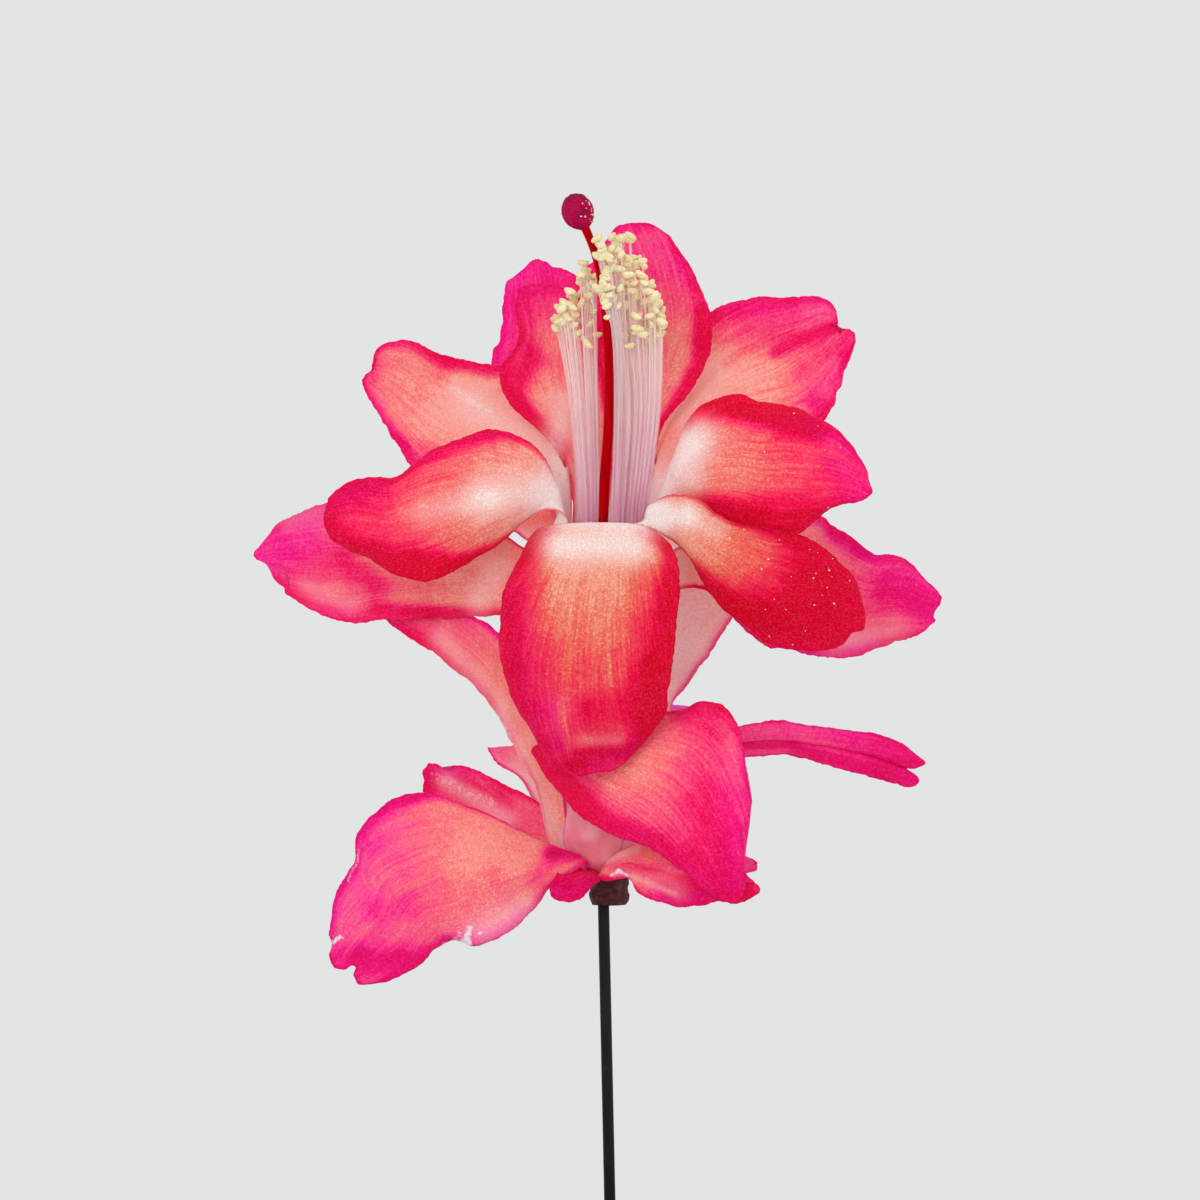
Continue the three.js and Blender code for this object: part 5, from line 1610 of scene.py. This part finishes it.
@dataclass
class Stamens:
    """Two brushes of stamens that rise from the tube's inner wall.

    Filaments whose tips lie within over_reach of the flower's middle bend over the style near its top, from
    its right side: over_depth is how far in front, over_chest how far to the right they pass at half height,
    and over_rise how much higher that is. The others keep a little clear of the style within style_room.
    """

    seed: int = 11
    root_height: float = 31.0
    root_radius: float = 3.85
    neck_height: float = 39.5
    neck_radius: float = 3.9
    chest_height: float = 52.0
    style_at: float = 0.5
    style_room: float = 1.2
    over_reach: float = 0.75
    over_depth: Pair = (-2.9, -2.4)
    over_chest: float = 1.4
    over_rise: float = 5.5
    radius: float = 0.15
    tip_radius: float = 0.09
    steps: int = 14
    sides: int = 7
    anther: Point = (0.8, 0.72, 1.3)
    brushes: tuple[Brush, ...] = (
        Brush(
            count=52, reach=(-5.0, -0.6), chest=(-3.4, -0.5), foot=(-2.6, -0.4),
            crown=(62.6, 64.6, 68.2, 66), hem=(60.6, 60, 58.6, 58.6), depth=(-1.9, 2.8),
        ),
        Brush(
            count=140, reach=(-0.7, 6.3), chest=(0.9, 5.9), foot=(0.7, 4.4),
            crown=(70, 71, 70.4, 67, 62.8), hem=(64.5, 60, 58.6, 58.6, 60), depth=(-2.5, 3.6),
        ),
    )

    def paths(self) -> tuple[np.ndarray, np.ndarray]:
        """Lays out every filament from its root to its anther.

        Returns:
            The paths as an array of filament, step and axis, and the share of the length at each step.
        """
        rng = np.random.default_rng(self.seed)
        share = np.linspace(0, 1, self.steps)
        lines = []
        for brush in self.brushes:
            for i in range(brush.count):
                across = (i + rng.uniform(0.1, 0.9)) / brush.count
                sides = (brush.reach, brush.chest, brush.foot)
                x, chest_x, foot_x = (start + across * (end - start) for start, end in sides)
                high, low = (along(line, np.array([across]))[0] for line in (brush.crown, brush.hem))
                z = high - (high - low) * rng.uniform() ** 1.1
                y = rng.uniform(*brush.depth)
                over = abs(x) < self.over_reach and foot_x > 0
                if over:
                    y, chest_x = rng.uniform(*self.over_depth), max(chest_x, self.over_chest)
                elif abs(chest_x - self.style_at) < self.style_room:
                    y = abs(y) * 0.8
                centre = TUBE.shift(self.neck_height)
                room = math.sqrt(max(self.neck_radius**2 - (foot_x - centre) ** 2, 0.04))
                foot_y = float(np.clip(y * rng.uniform(0.8, 1.2), -room, room))
                way = unit(np.array([foot_x - centre, foot_y, 0.0]))
                root = way * self.root_radius + (TUBE.shift(self.root_height), 0, self.root_height)
                neck = (foot_x, foot_y, self.neck_height)
                chest = np.array([chest_x, y * 0.95, self.chest_height + self.over_rise * over])
                chest += rng.normal(size=3) * (0.1, 0.1, 0)
                lines.append(curve((root, neck, chest, (x, y, z)), share))
        return np.array(lines), share

    def build(self, finish: Material, pollen: Material) -> None:
        """Makes the filaments and the anthers.

        Args:
            finish: the filaments' material.
            pollen: the anthers' material.
        """
        lines, share = self.paths()
        count = len(lines)
        index = np.arange(count * self.steps).reshape(count, self.steps)
        edges = np.stack([index[:, :-1].ravel(), index[:, 1:].ravel()], -1).tolist()
        stalks = make_object("filament_lines", lines.reshape(-1, 3), [], FLOWER, edges)
        note(stalks, "share", np.tile(share, count))

        sizes = {"Foot Radius": self.radius * MM, "Tip Radius": self.tip_radius * MM}
        kit = GeometryTree("filaments_along_lines", sizes)
        tree = kit.tree
        runs = add(tree, "GeometryNodeMeshToCurve", {"Mesh": kit.read("Geometry")})
        place = add(tree, "GeometryNodeInputNamedAttribute", {"Name": "share"}, data_type="FLOAT")
        radii = {0: place, 1: 0.0, 2: 1.0, 3: kit.read("Foot Radius"), 4: kit.read("Tip Radius")}
        width = add(tree, "MapRange", radii)
        sized = add(tree, "GeometryNodeSetCurveRadius", {"Curve": runs, "Radius": 1.0})
        ring = add(tree, "GeometryNodeCurvePrimitiveCircle", {"Resolution": self.sides, "Radius": 1.0})
        stalk = {"Curve": sized, "Profile Curve": ring, "Scale": width, "Fill Caps": True}
        rods = add(tree, "GeometryNodeCurveToMesh", stalk)
        kit.finish(add(tree, "GeometryNodeSetShadeSmooth", {"Geometry": rods}), finish)
        filaments = dress(kit.apply(stalks, "stamen_filaments"), finish, "filament_and_anther", "stamens")
        # Clear stalks scatter light among themselves, so none lies in another's shadow.
        filaments.visible_shadow = False
        dress(self.anthers(lines[:, -1], pollen), pollen, "filament_and_anther", "stamens")

    def anthers(self, tips: np.ndarray, pollen: Material) -> Object:
        """Puts a bean-shaped anther on the end of every filament.

        Args:
            tips: the filaments' ends.
            pollen: the anthers' material.

        Returns:
            The anthers as one mesh object.
        """
        halves = {name: size * MM / 2 for name, size in zip(("Width", "Depth", "Length"), self.anther)}
        kit = GeometryTree("anthers_on_tips", {**halves, "Seed": self.seed})
        tree, seed = kit.tree, kit.read("Seed")
        ball = add(tree, "GeometryNodeMeshUVSphere", {"Segments": 12, "Rings": 8, "Radius": 1.0})
        # The sac bends like a bean: its ends lie further back than its waist.
        height = add(tree, "SeparateXYZ", {0: add(tree, "GeometryNodeInputPosition")}, out="Z")
        bend = add(tree, "Math", {0: height, 1: height}, operation="MULTIPLY")
        back = add(tree, "Math", {0: bend, 1: 0.35}, operation="MULTIPLY")
        shift = add(tree, "CombineXYZ", {1: back})
        bean = add(tree, "GeometryNodeSetPosition", {"Geometry": ball, "Offset": shift})
        sizes = add(tree, "CombineXYZ", {i: kit.read(name) for i, name in enumerate(halves)})
        sac = add(tree, "GeometryNodeTransform", {"Geometry": bean, "Scale": sizes})
        about = {0: (0.4, -0.9, 0.8), 1: (2.4, 0.9, 2.3), "Seed": seed}
        turn = add(tree, "FunctionNodeRandomValue", about, data_type="FLOAT_VECTOR")
        scale = add(tree, "FunctionNodeRandomValue", {2: 0.82, 3: 1.12, "Seed": seed}, data_type="FLOAT")
        spots = add(tree, "GeometryNodeMeshToPoints", {"Mesh": kit.read("Geometry")})
        placed = {"Points": spots, "Instance": sac, "Rotation": turn, "Scale": scale}
        laid = add(tree, "GeometryNodeInstanceOnPoints", placed)
        uneven = add(tree, "GeometryNodeRealizeInstances", {"Geometry": laid})
        where = add(tree, "GeometryNodeInputPosition")
        lumps = add(tree, "TexNoise", {"Vector": where, "Scale": per_mm(0.5), "Detail": 2.0}, out="Color")
        away = add(tree, "VectorMath", {0: lumps, 1: (0.5, 0.5, 0.5)}, operation="SUBTRACT")
        small = add(tree, "VectorMath", {0: away, "Scale": 0.16 * MM}, operation="SCALE")
        rough = add(tree, "GeometryNodeSetPosition", {"Geometry": uneven, "Offset": small})
        kit.finish(add(tree, "GeometryNodeSetShadeSmooth", {"Geometry": rough}), pollen)
        return kit.apply(make_object("anther_places", tips, [], FLOWER), "stamen_anthers")


@dataclass
class Pistil:
    """The style, a smooth stem, and the stigma's ribbed, velvety head."""

    path: tuple[Point, ...] = (
        (0, 0, 3.1), (0, -0.2, 20), (-0.05, -0.8, 40), (0.6, -1.4, 52), (0.35, -1.6, 61), (-0.75, -1.6, 68),
    )
    head: Point = (-2.65, -1.6, 72.8)
    head_size: Point = (1.7, 1.7, 1.98)
    radii: Row = (0.6, 0.56, 0.56, 0.52, 0.46, 0.42, 0.5)
    steps: int = 90
    sides: int = 28
    lobes: int = 7
    head_lean: float = -24.0
    head_rows: int = 60
    head_sides: int = 88
    furrow: float = 0.05
    narrowing: float = 0.14
    clump: Point = (0.72, -0.62, -0.12)
    clump_reach: float = 0.22
    seed: int = 5

    def build(self) -> Object:
        """Makes the style and the stigma.

        Returns:
            The stigma, for its pollen.
        """
        t = np.linspace(0, 1, self.steps)
        points, faces = tube_along(curve((*self.path, self.head), t), curve(self.radii, t), self.sides)
        stem = make_object("style_stem", points, faces, FLOWER)
        dress(stem, self.stem_finish(), "style_red", "style_and_stigma")
        rise = np.linspace(0, math.pi, self.head_rows)
        rise_at, turn_at = np.meshgrid(rise, circle(self.head_sides), indexing="ij")
        # Seven lobes lie against each other, so the head has shallow furrows that meet at the top.
        bulge = 1 - self.furrow * np.abs(np.cos(self.lobes * turn_at / 2)) ** 6 * np.sin(rise_at)
        narrow = 1 - self.narrowing * np.clip(-np.cos(rise_at), 0, 1) ** 2
        ball = np.stack(
            [
                np.sin(rise_at) * np.cos(turn_at) * bulge * narrow,
                np.sin(rise_at) * np.sin(turn_at) * bulge * narrow,
                np.cos(rise_at) * bulge,
            ],
            -1,
        )
        rng = np.random.default_rng(self.seed)
        ball *= (1 + 0.018 * swell(rng, ball * 1.8, 0.7))[..., None]
        lean = math.radians(self.head_lean)
        cosine, sine = math.cos(lean), math.sin(lean)
        tilt = np.array([[cosine, 0, sine], [0, 1, 0], [-sine, 0, cosine]])
        placed = (ball * self.head_size) @ tilt.T + np.asarray(self.head)
        knob = make_object("stigma_head", *self.one_pole(placed), FLOWER)
        # Pollen lies on the right and the underside, and in one clump on the front.
        catch = smooth(0.1, 1.2, ball[..., 0] - 0.6 * ball[..., 1] - 0.8 * ball[..., 2])
        off = np.linalg.norm(ball - np.array(self.clump), axis=-1)
        dust = catch + 7 * np.exp(-((off / self.clump_reach) ** 2))
        note(knob, "dust", np.concatenate([dust[0, :1], dust[1:-1].ravel(), dust[-1, :1]]))
        return dress(knob, self.head_finish(), "style_red", "style_and_stigma")

    def one_pole(self, rings: np.ndarray) -> tuple[np.ndarray, list]:
        """Closes rings of points from top to bottom with a single point at each end.

        Args:
            rings: grid of points whose first and last rows lie in one place.

        Returns:
            Points and faces.
        """
        rows, sides = rings.shape[:2]
        points = np.vstack([rings[0, :1], rings[1:-1].reshape(-1, 3), rings[-1, :1]])
        around = [(j, (j + 1) % sides) for j in range(sides)]
        low, last = 1 + (rows - 3) * sides, len(points) - 1
        quads = grid_faces(rows - 2, sides, around=True, first=1)[:, ::-1].tolist()
        top = [(1 + a, 1 + b, 0) for a, b in around]
        return points, [*quads, *top, *((last, low + b, low + a) for a, b in around)]

    def stem_finish(self) -> Material:
        """Style skin: firm, smooth and a little waxy, dark red with faint lengthwise veins."""
        material, tree, place = new_material("style_skin_dark_red")
        vein = drawn_out(tree, place, 0.3, 5.0, 3.0)
        colour = add(
            tree, "ValToRGB", {"Fac": vein}, stops=[(0.3, "#980006"), (0.52, "#B2000A"), (0.75, "#C80416")],
        )
        close_material(
            tree, colour, ((vein, 0.3, 0.02),), (vein, 0.3, 0.44), (0.15, 1.0, 0.2, 0.2, 0.6), IOR=1.42,
            Specular_IOR_Level=0.05, Specular_Tint=linear("#FF6070"),
        )
        return material

    def head_finish(self) -> Material:
        """Stigma velvet: close-set papillae about 0.17 mm across, crimson and soft at grazing angles."""
        material, tree, place = new_material("stigma_velvet_crimson")
        knobs = add(tree, "TexVoronoi", {"Vector": place, "Scale": per_mm(0.17)})
        cloud = add(tree, "TexNoise", {"Vector": place, "Scale": per_mm(1.3), "Detail": 2.0})
        mixed = add(tree, "Math", {0: knobs, 1: -0.45, 2: cloud}, operation="MULTIPLY_ADD")
        colour = add(
            tree, "ValToRGB", {"Fac": mixed}, stops=[(0.05, "#7C0030"), (0.3, "#A80040"), (0.52, "#BE004E")],
        )
        close_material(
            tree, colour, ((knobs, 0.9, -0.07),), (knobs, 0.62, 0.76), (0.1, 1.0, 0.2, 0.4, 0.5), IOR=1.4,
            Specular_IOR_Level=0.15, Sheen_Weight=0.1, Sheen_Roughness=0.4, Sheen_Tint=linear("#F04090"),
        )
        return material


@dataclass
class Seat:
    """The ovary and the rod that it sits on."""

    offset: float = 0.6
    radius: float = 2.1
    height: float = 2.8
    socket: float = 1.1
    rod_radius: float = 0.6
    clearance: float = 0.2
    foot: Point = (1.6, 0, -74)
    rings: int = 26
    sides: int = 72
    rod_steps: int = 60
    rod_sides: int = 40
    seed: int = 9

    def build(self) -> None:
        """Makes the ovary and the rod."""
        self.ovary()
        self.rod()

    def ovary(self) -> None:
        """Makes the ovary, a lumpy seat with a socket for the rod."""
        hole = self.rod_radius + self.clearance
        profile = [(0.03, self.socket), (hole, self.socket), (hole, 0.1)]
        for share in np.linspace(0, 1, self.rings):
            bulge = 0.78 + 0.22 * math.sin(math.pi * min(share * 1.25 + 0.08, 0.75))
            profile.append((self.radius * bulge, 0.05 + share * (self.height - 0.1)))
        profile += [(self.radius * 0.55, self.height), (0.03, self.height)]
        points, faces = lathe(profile, self.sides)
        outer = slice(3, len(profile) - 2)
        rng = np.random.default_rng(self.seed)
        turn = np.arctan2(points[..., 1], points[..., 0])
        # Blunt ribs and the scars of small scales.
        lumps = 0.1 * np.cos(5 * turn + 0.7) + 0.1 * swell(rng, points, 1.7) + 0.04 * swell(rng, points, 0.6)
        points[outer, :, :2] *= (1 + 0.35 * lumps[outer])[..., None]
        points[-3:, :, 2] += 0.22 * swell(rng, points[-3:], 1.6)
        reach = np.hypot(points[..., 0], points[..., 1])
        points[..., 0] += self.offset * smooth(self.rod_radius + 0.3, 1.4, reach)
        made = make_object("ovary_body", points.reshape(-1, 3), faces, FLOWER)
        dress(made, self.ovary_finish(), "ovary_skin", "ovary")

    def rod(self) -> None:
        """Makes the rod, from the soil to the ovary's socket."""
        line = curve((self.foot, (0, 0, self.socket - 0.3)), np.linspace(0, 1, self.rod_steps))
        points, faces = tube_along(line, np.full(self.rod_steps, self.rod_radius), self.rod_sides)
        made = make_object("support_rod", points, faces, FLOWER)
        dress(made, self.rod_finish(), "dark_rod", "rod")

    def ovary_finish(self) -> Material:
        """Ovary skin: tough plant skin, dark brown with a reddish cast and paler worn ribs."""
        material, tree, place = new_material("ovary_skin_brown")
        spots = add(
            tree, "TexNoise", {"Vector": place, "Scale": per_mm(0.6), "Detail": 5.0, "Roughness": 0.65}
        )
        colour = add(
            tree, "ValToRGB", {"Fac": spots}, stops=[(0.32, "#341218"), (0.52, "#4E2026"), (0.7, "#70443F")],
        )
        close_material(
            tree, colour, ((spots, 0.7, 0.12),), (spots, 0.5, 0.75), (0.08, 1.0, 0.4, 0.3, 0.8), IOR=1.45,
            Specular_IOR_Level=0.25,
        )
        return material

    def rod_finish(self) -> Material:
        """Painted wire: near-black enamel over drawn wire, half matt, with draw lines and rubbed spots."""
        material, tree, place = new_material("enamel_near_black")
        lines = drawn_out(tree, place, 0.25, 9.0, 3.0)
        rub = add(tree, "TexNoise", {"Vector": place, "Scale": per_mm(2.0), "Detail": 4.0})
        colour = add(
            tree, "ValToRGB", {"Fac": rub}, stops=[(0.35, "#080505"), (0.6, "#0F0B0A"), (0.8, "#221C1A")],
        )
        close_material(
            tree, colour, ((lines, 0.35, 0.015),), (rub, 0.32, 0.52), IOR=1.5, Specular_IOR_Level=0.18,
        )
        return material


@dataclass
class Pot:
    """A small clay pot with a rim band, filled with potting soil."""

    height: float = 54.0
    base: float = 21.0
    shoulder: float = 26.4
    rim: float = 31.0
    taper: float = 1.1
    band: float = 14.0
    wall: float = 4.0
    floor: float = 5.0
    edge: float = 0.9
    corner_steps: int = 5
    stretch: float = 3.0
    sides: int = 160
    soil_top: float = 46.0
    swell_height: float = 1.4
    lump: float = 0.7
    gap: float = 0.3
    soil_rings: int = 74
    soil_sides: int = 190
    mound_reach: float = 2.5
    mound_height: float = 0.5
    clay_seed: int = 4
    soil_seed: int = 6

    def inside(self, z: float) -> float:
        """Returns the radius of the inner wall at a height."""
        under = self.height - self.band
        if z > under:
            return float(np.interp(z, [under, self.height], [self.inside(under), self.rim - self.wall]))
        return float(np.interp(z, [0, under], [self.base, self.shoulder])) - self.wall

    def rounded(self, corners: list[Pair], reach: float) -> list[Pair]:
        """Rounds the corners of an outline and splits its long stretches.

        Args:
            corners: radius and height of each corner, as a closed outline.
            reach: how far before and after a corner the rounding starts.

        Returns:
            The finer outline.
        """
        out = []
        count = len(corners)
        for i, corner in enumerate(corners):
            before, here, after = (np.array(corners[(i + k) % count], float) for k in (-1, 0, 1))
            if here[0] < POLE:
                out.append(corner)
                continue
            back, on = before - here, after - here
            r = min(reach, np.linalg.norm(back) / 2.2, np.linalg.norm(on) / 2.2)
            start, end = here + unit(back) * r, here + unit(on) * r
            for t in np.linspace(0, 1, self.corner_steps):
                out.append(tuple((1 - t) ** 2 * start + 2 * t * (1 - t) * here + t**2 * end))
            length = np.linalg.norm(after - here) - 2 * r
            pieces = int(length / self.stretch)
            for k in range(1, pieces):
                out.append(tuple(end + unit(on) * length * k / pieces))
        return out

    def build(self) -> None:
        """Makes the pot, the soil and the crumbs on it."""
        under = self.height - self.band
        corners = [
            (0.05, 0), (self.base, 0), (self.shoulder, under), (self.rim - self.taper, under),
            (self.rim, self.height), (self.rim - self.wall, self.height), (self.inside(under), under),
            (self.inside(self.floor), self.floor), (0.05, self.floor),
        ]
        outline = self.rounded(corners, self.edge)
        points, faces = lathe(outline, self.sides)
        rng = np.random.default_rng(self.clay_seed)
        # Turned by hand: out of round by 0.1 mm, and flat underneath.
        uneven = 0.1 * swell(rng, points, 40.0) + 0.03 * swell(rng, points, 7.0)
        reach = np.hypot(points[..., 0], points[..., 1])
        points[..., :2] *= (1 - np.abs(uneven) / np.maximum(reach, 5.0))[..., None]
        pot = make_object("clay_pot", points.reshape(-1, 3), faces)
        dress(pot, self.clay_finish(), "terracotta", "pot")
        self.soil()

    def soil(self) -> None:
        """Makes the soil's crumbly top and the loose crumbs and perlite on it."""
        wall_height = self.soil_top - self.swell_height - self.lump
        reach = self.inside(wall_height) - self.gap
        sides = self.soil_sides
        radii = np.linspace(0.02, 1, self.soil_rings) * reach
        r, turn = np.meshgrid(radii, circle(sides), indexing="ij")
        x, y = r * np.cos(turn), r * np.sin(turn)
        # The broad lumps are those of the solid, and the crumbly grain lies over them.
        relief = np.sin(0.9 * x + 1.3) * np.cos(0.8 * y - 0.4) + 0.5 * np.sin(1.7 * y + 0.6 * x)
        z = self.soil_top - self.swell_height * (r / reach) ** 2 + self.lump * relief / 1.5
        rng = np.random.default_rng(self.soil_seed)
        flat = np.stack([x, y, np.zeros_like(x)], -1)
        z += 0.22 * swell(rng, flat, 2.6) + 0.16 * swell(rng, flat, 1.1) + 0.08 * swell(rng, flat, 0.6)
        # The soil is pressed up around the rod.
        foot = FLOWER + np.array(Seat.foot) * (FLOWER[2] - self.soil_top) / -Seat.foot[2]
        off = (x - foot[0]) ** 2 + (y - foot[1]) ** 2
        z += self.mound_height * np.exp(-(off / self.mound_reach**2))
        top = np.stack([x, y, z], -1)
        skirt = []
        for height in (self.height - self.band, 20.0, self.floor + self.gap):
            ring = top[-1].copy()
            ring[:, :2] *= (self.inside(height) - self.gap) / reach
            ring[:, 2] = height
            skirt.append(ring)
        grid = np.concatenate([top, np.array(skirt)])
        rows = len(grid)
        faces = grid_faces(rows, sides, around=True)[:, ::-1].tolist()
        faces += [list(range(sides)), list(range(rows * sides - 1, (rows - 1) * sides - 1, -1))]
        made = make_object("soil_bed", grid.reshape(-1, 3), faces)
        # The crumbs keep clear of the rod and of the wall.
        clear = smooth(1.2, 2.2, np.hypot(x - foot[0], y - foot[1])) * smooth(reach, reach - 1.2, r)
        note(made, "dust", np.concatenate([clear.ravel(), np.zeros(len(skirt) * sides)]))
        earth = self.soil_finish("potting_soil_damp", "#1E1410", "#33241B", "#4E3A2B")
        bed = dress(made, earth, "potting_soil", "soil")
        bark = self.soil_finish("composted_bark", "#2A1B13", "#49321F", "#6B4A2E")
        white = self.soil_finish("perlite_white", "#C9C4BA", "#E2DED6", "#F1EEE8")
        for name, finish, grains in (
            ("soil_crumbs", earth, Grains(330000, 0.62, seed=7, stretch=0.7, spread=(0.3, 1.25), finer=2)),
            ("bark_chips", bark, Grains(60000, 0.75, seed=8, stretch=2.3, spread=(0.4, 1.1), finer=2)),
            ("perlite_beads", white, Grains(16000, 0.7, seed=9, stretch=0.8, spread=(0.4, 1.2), finer=2)),
        ):
            dress(grains.strew(name, bed, finish), finish, "potting_soil")

    def clay_finish(self) -> Material:
        """Terracotta: unglazed clay turned on a wheel and fired, matt and porous.

        Fine grog shows as grains, the turning leaves faint rings, and lime from the water blooms on the wall.
        """
        material, tree, place = new_material("terracotta_fired_clay")
        grog = add(tree, "TexNoise", {"Vector": place, "Scale": per_mm(0.5), "Detail": 5.0, "Roughness": 0.7})
        cloud = add(
            tree, "TexNoise", {"Vector": place, "Scale": per_mm(16.0), "Detail": 5.0, "Roughness": 0.6}
        )
        rings = add(
            tree, "TexWave", {"Vector": place, "Scale": per_mm(9.0), "Distortion": 1.2, "Detail": 3.0},
            wave_type="BANDS", bands_direction="Z", out="Fac",
        )
        clay = add(
            tree, "ValToRGB", {"Fac": cloud}, stops=[(0.3, "#9E5233"), (0.5, "#B8663F"), (0.7, "#C97A52")],
        )
        speck = add(tree, "MapRange", {0: grog, 1: 0.42, 2: 0.64, 3: 0.0, 4: 0.45})
        clay = add(tree, "Mix", {0: speck, 6: clay, 7: linear("#D99A76")}, data_type="RGBA")
        height = add(tree, "SeparateXYZ", {0: place}, out="Z")
        low = add(tree, "MapRange", {0: height, 1: 2 * MM, 2: 30 * MM, 3: 0.35, 4: 0.0})
        bloom = add(tree, "MapRange", {0: cloud, 1: 0.48, 2: 0.72, 3: 0.0, 4: 1.0})
        lime = add(tree, "Math", {0: low, 1: bloom}, operation="MULTIPLY")
        clay = add(tree, "Mix", {0: lime, 6: clay, 7: linear("#DCC4B2")}, data_type="RGBA")
        close_material(tree, clay, ((rings, 0.5, 0.12), (grog, 0.6, 0.1)), (grog, 0.82, 0.95), IOR=1.5)
        return material

    def soil_finish(self, name: str, dark: str, middle: str, light: str) -> Material:
        """Potting mix: peat, composted bark and perlite, crumbly and matt.

        Args:
            name: the material's name.
            dark: colour where the crumb pattern is low, in the hollows of its relief.
            middle: the usual colour.
            light: colour where the crumb pattern is high, on the raised crumbs.

        Returns:
            The material.
        """
        material, tree, place = new_material(name)
        crumb = add(
            tree, "TexNoise", {"Vector": place, "Scale": per_mm(0.7), "Detail": 6.0, "Roughness": 0.7}
        )
        colour = add(tree, "ValToRGB", {"Fac": crumb}, stops=[(0.35, dark), (0.52, middle), (0.7, light)])
        close_material(tree, colour, ((crumb, 0.9, 0.35),), (crumb, 0.8, 1.0), IOR=1.4)
        return material


@dataclass
class Studio:
    """The pale floor, soft lights and the camera."""

    eye: Point = (-1.05, -421.05, 122.1)
    lens: float = 120.0
    sensor: float = 36.0
    clip: Pair = (0.01, 10.0)
    floor_radius: float = 420.0
    floor_height: float = -0.05
    backdrop: str = "#E3E4E4"
    # Name, place, height of what it points at on the axis, and watts.
    lamps: tuple[tuple[str, Point, float, float], ...] = (
        ("key", (-160, -400, 250), 118, 0.5), ("fill", (330, -300, 160), 118, 0.25),
        ("top", (40, 120, 480), 110, 0.25),
    )
    lamp_size: float = 260.0

    def build(self) -> None:
        """Sets up the studio."""
        self.world()
        self.floor()
        for lamp in self.lamps:
            self.lamp(*lamp)
        self.camera()

    def world(self) -> None:
        """Lights everything evenly from a pale grey surround."""
        world = bpy.data.worlds.new("pale_surround")
        world.use_nodes = True
        world.node_tree.nodes.clear()
        back = add(world.node_tree, "Background", {"Color": linear(self.backdrop), "Strength": 1.0})
        add(world.node_tree, "OutputWorld", {"Surface": back})
        bpy.context.scene.world = world
        bpy.context.scene.view_settings.view_transform = "Standard"

    def floor(self) -> None:
        """Lays a pale round floor that fades into the surround."""
        sides, rings = 96, 24
        radii = np.linspace(0.5, self.floor_radius, rings)
        turn = circle(sides)
        level = np.full((rings, sides), self.floor_height)
        points = np.stack([np.outer(radii, np.cos(turn)), np.outer(radii, np.sin(turn)), level], -1)
        faces = grid_faces(rings, sides, around=True).tolist() + [list(range(sides - 1, -1, -1))]
        made = make_object("studio_floor", points.reshape(-1, 3), faces)
        note(made, "far", np.repeat(radii, sides) / self.floor_radius)
        material, tree, _ = new_material("floor_paper_matt")
        far = add(tree, "Attribute", attribute_name="far", out="Fac")
        fall = {0: far, 1: 0.3, 2: 0.85, 3: 1.0, 4: 0.0}
        fade = add(tree, "MapRange", fall, interpolation_type="SMOOTHSTEP")
        close_material(tree, linear("#E6E6E6"), (), (far, 0.9, 0.9), Alpha=fade)
        made.data.materials.append(material)

    def lamp(self, name: str, place: Point, target: float, power: float) -> None:
        """Hangs a square soft light.

        Args:
            name: the light's name.
            place: where it hangs, in millimetres.
            target: height of what it points at, on the axis.
            power: its power in watts.
        """
        data = bpy.data.lights.new(name, "AREA")
        data.size = self.lamp_size * MM
        data.energy = power
        lamp = linked(name, data)
        at = np.asarray(place, float) * MM
        lamp.location = at
        way = np.array([0.0, 0.0, target]) * MM - at
        flat = math.hypot(way[0], way[1])
        lamp.rotation_euler = (math.atan2(flat, -way[2]), 0, math.atan2(way[1], way[0]) - math.pi / 2)

    def camera(self) -> None:
        """Places the camera level, in front of the flower."""
        data = bpy.data.cameras.new("camera")
        data.lens = self.lens
        data.sensor_width = self.sensor
        data.clip_start, data.clip_end = self.clip
        camera = linked("camera", data)
        camera.location = np.asarray(self.eye) * MM
        camera.rotation_euler = (math.pi / 2, 0, 0)
        bpy.context.scene.camera = camera


def main() -> None:
    """Builds the flower, the pot and the studio."""
    logging.basicConfig(level=logging.INFO, format="%(message)s")
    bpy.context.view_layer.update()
    Studio().build()
    pollen = PollenDust().build()
    TUBE.build()
    petals = Corolla().build()
    Stamens().build(FilamentGlass().build(), pollen)
    knob = Pistil().build()
    Seat().build()
    Pot().build()
    for name, ground, grains in (
        ("pollen_on_stigma", knob, Grains(1.6e6, 0.1, seed=40, stretch=1.5)),
        ("pollen_on_lower_right", petals["lower_right"], Grains(2.6e5, 0.075, seed=41, stretch=1.5)),
        ("pollen_on_right", petals["right"], Grains(2.6e5, 0.075, seed=42, stretch=1.5)),
    ):
        dress(grains.strew(name, ground, pollen), pollen, "filament_and_anther")


if __name__ == "__main__":
    main()
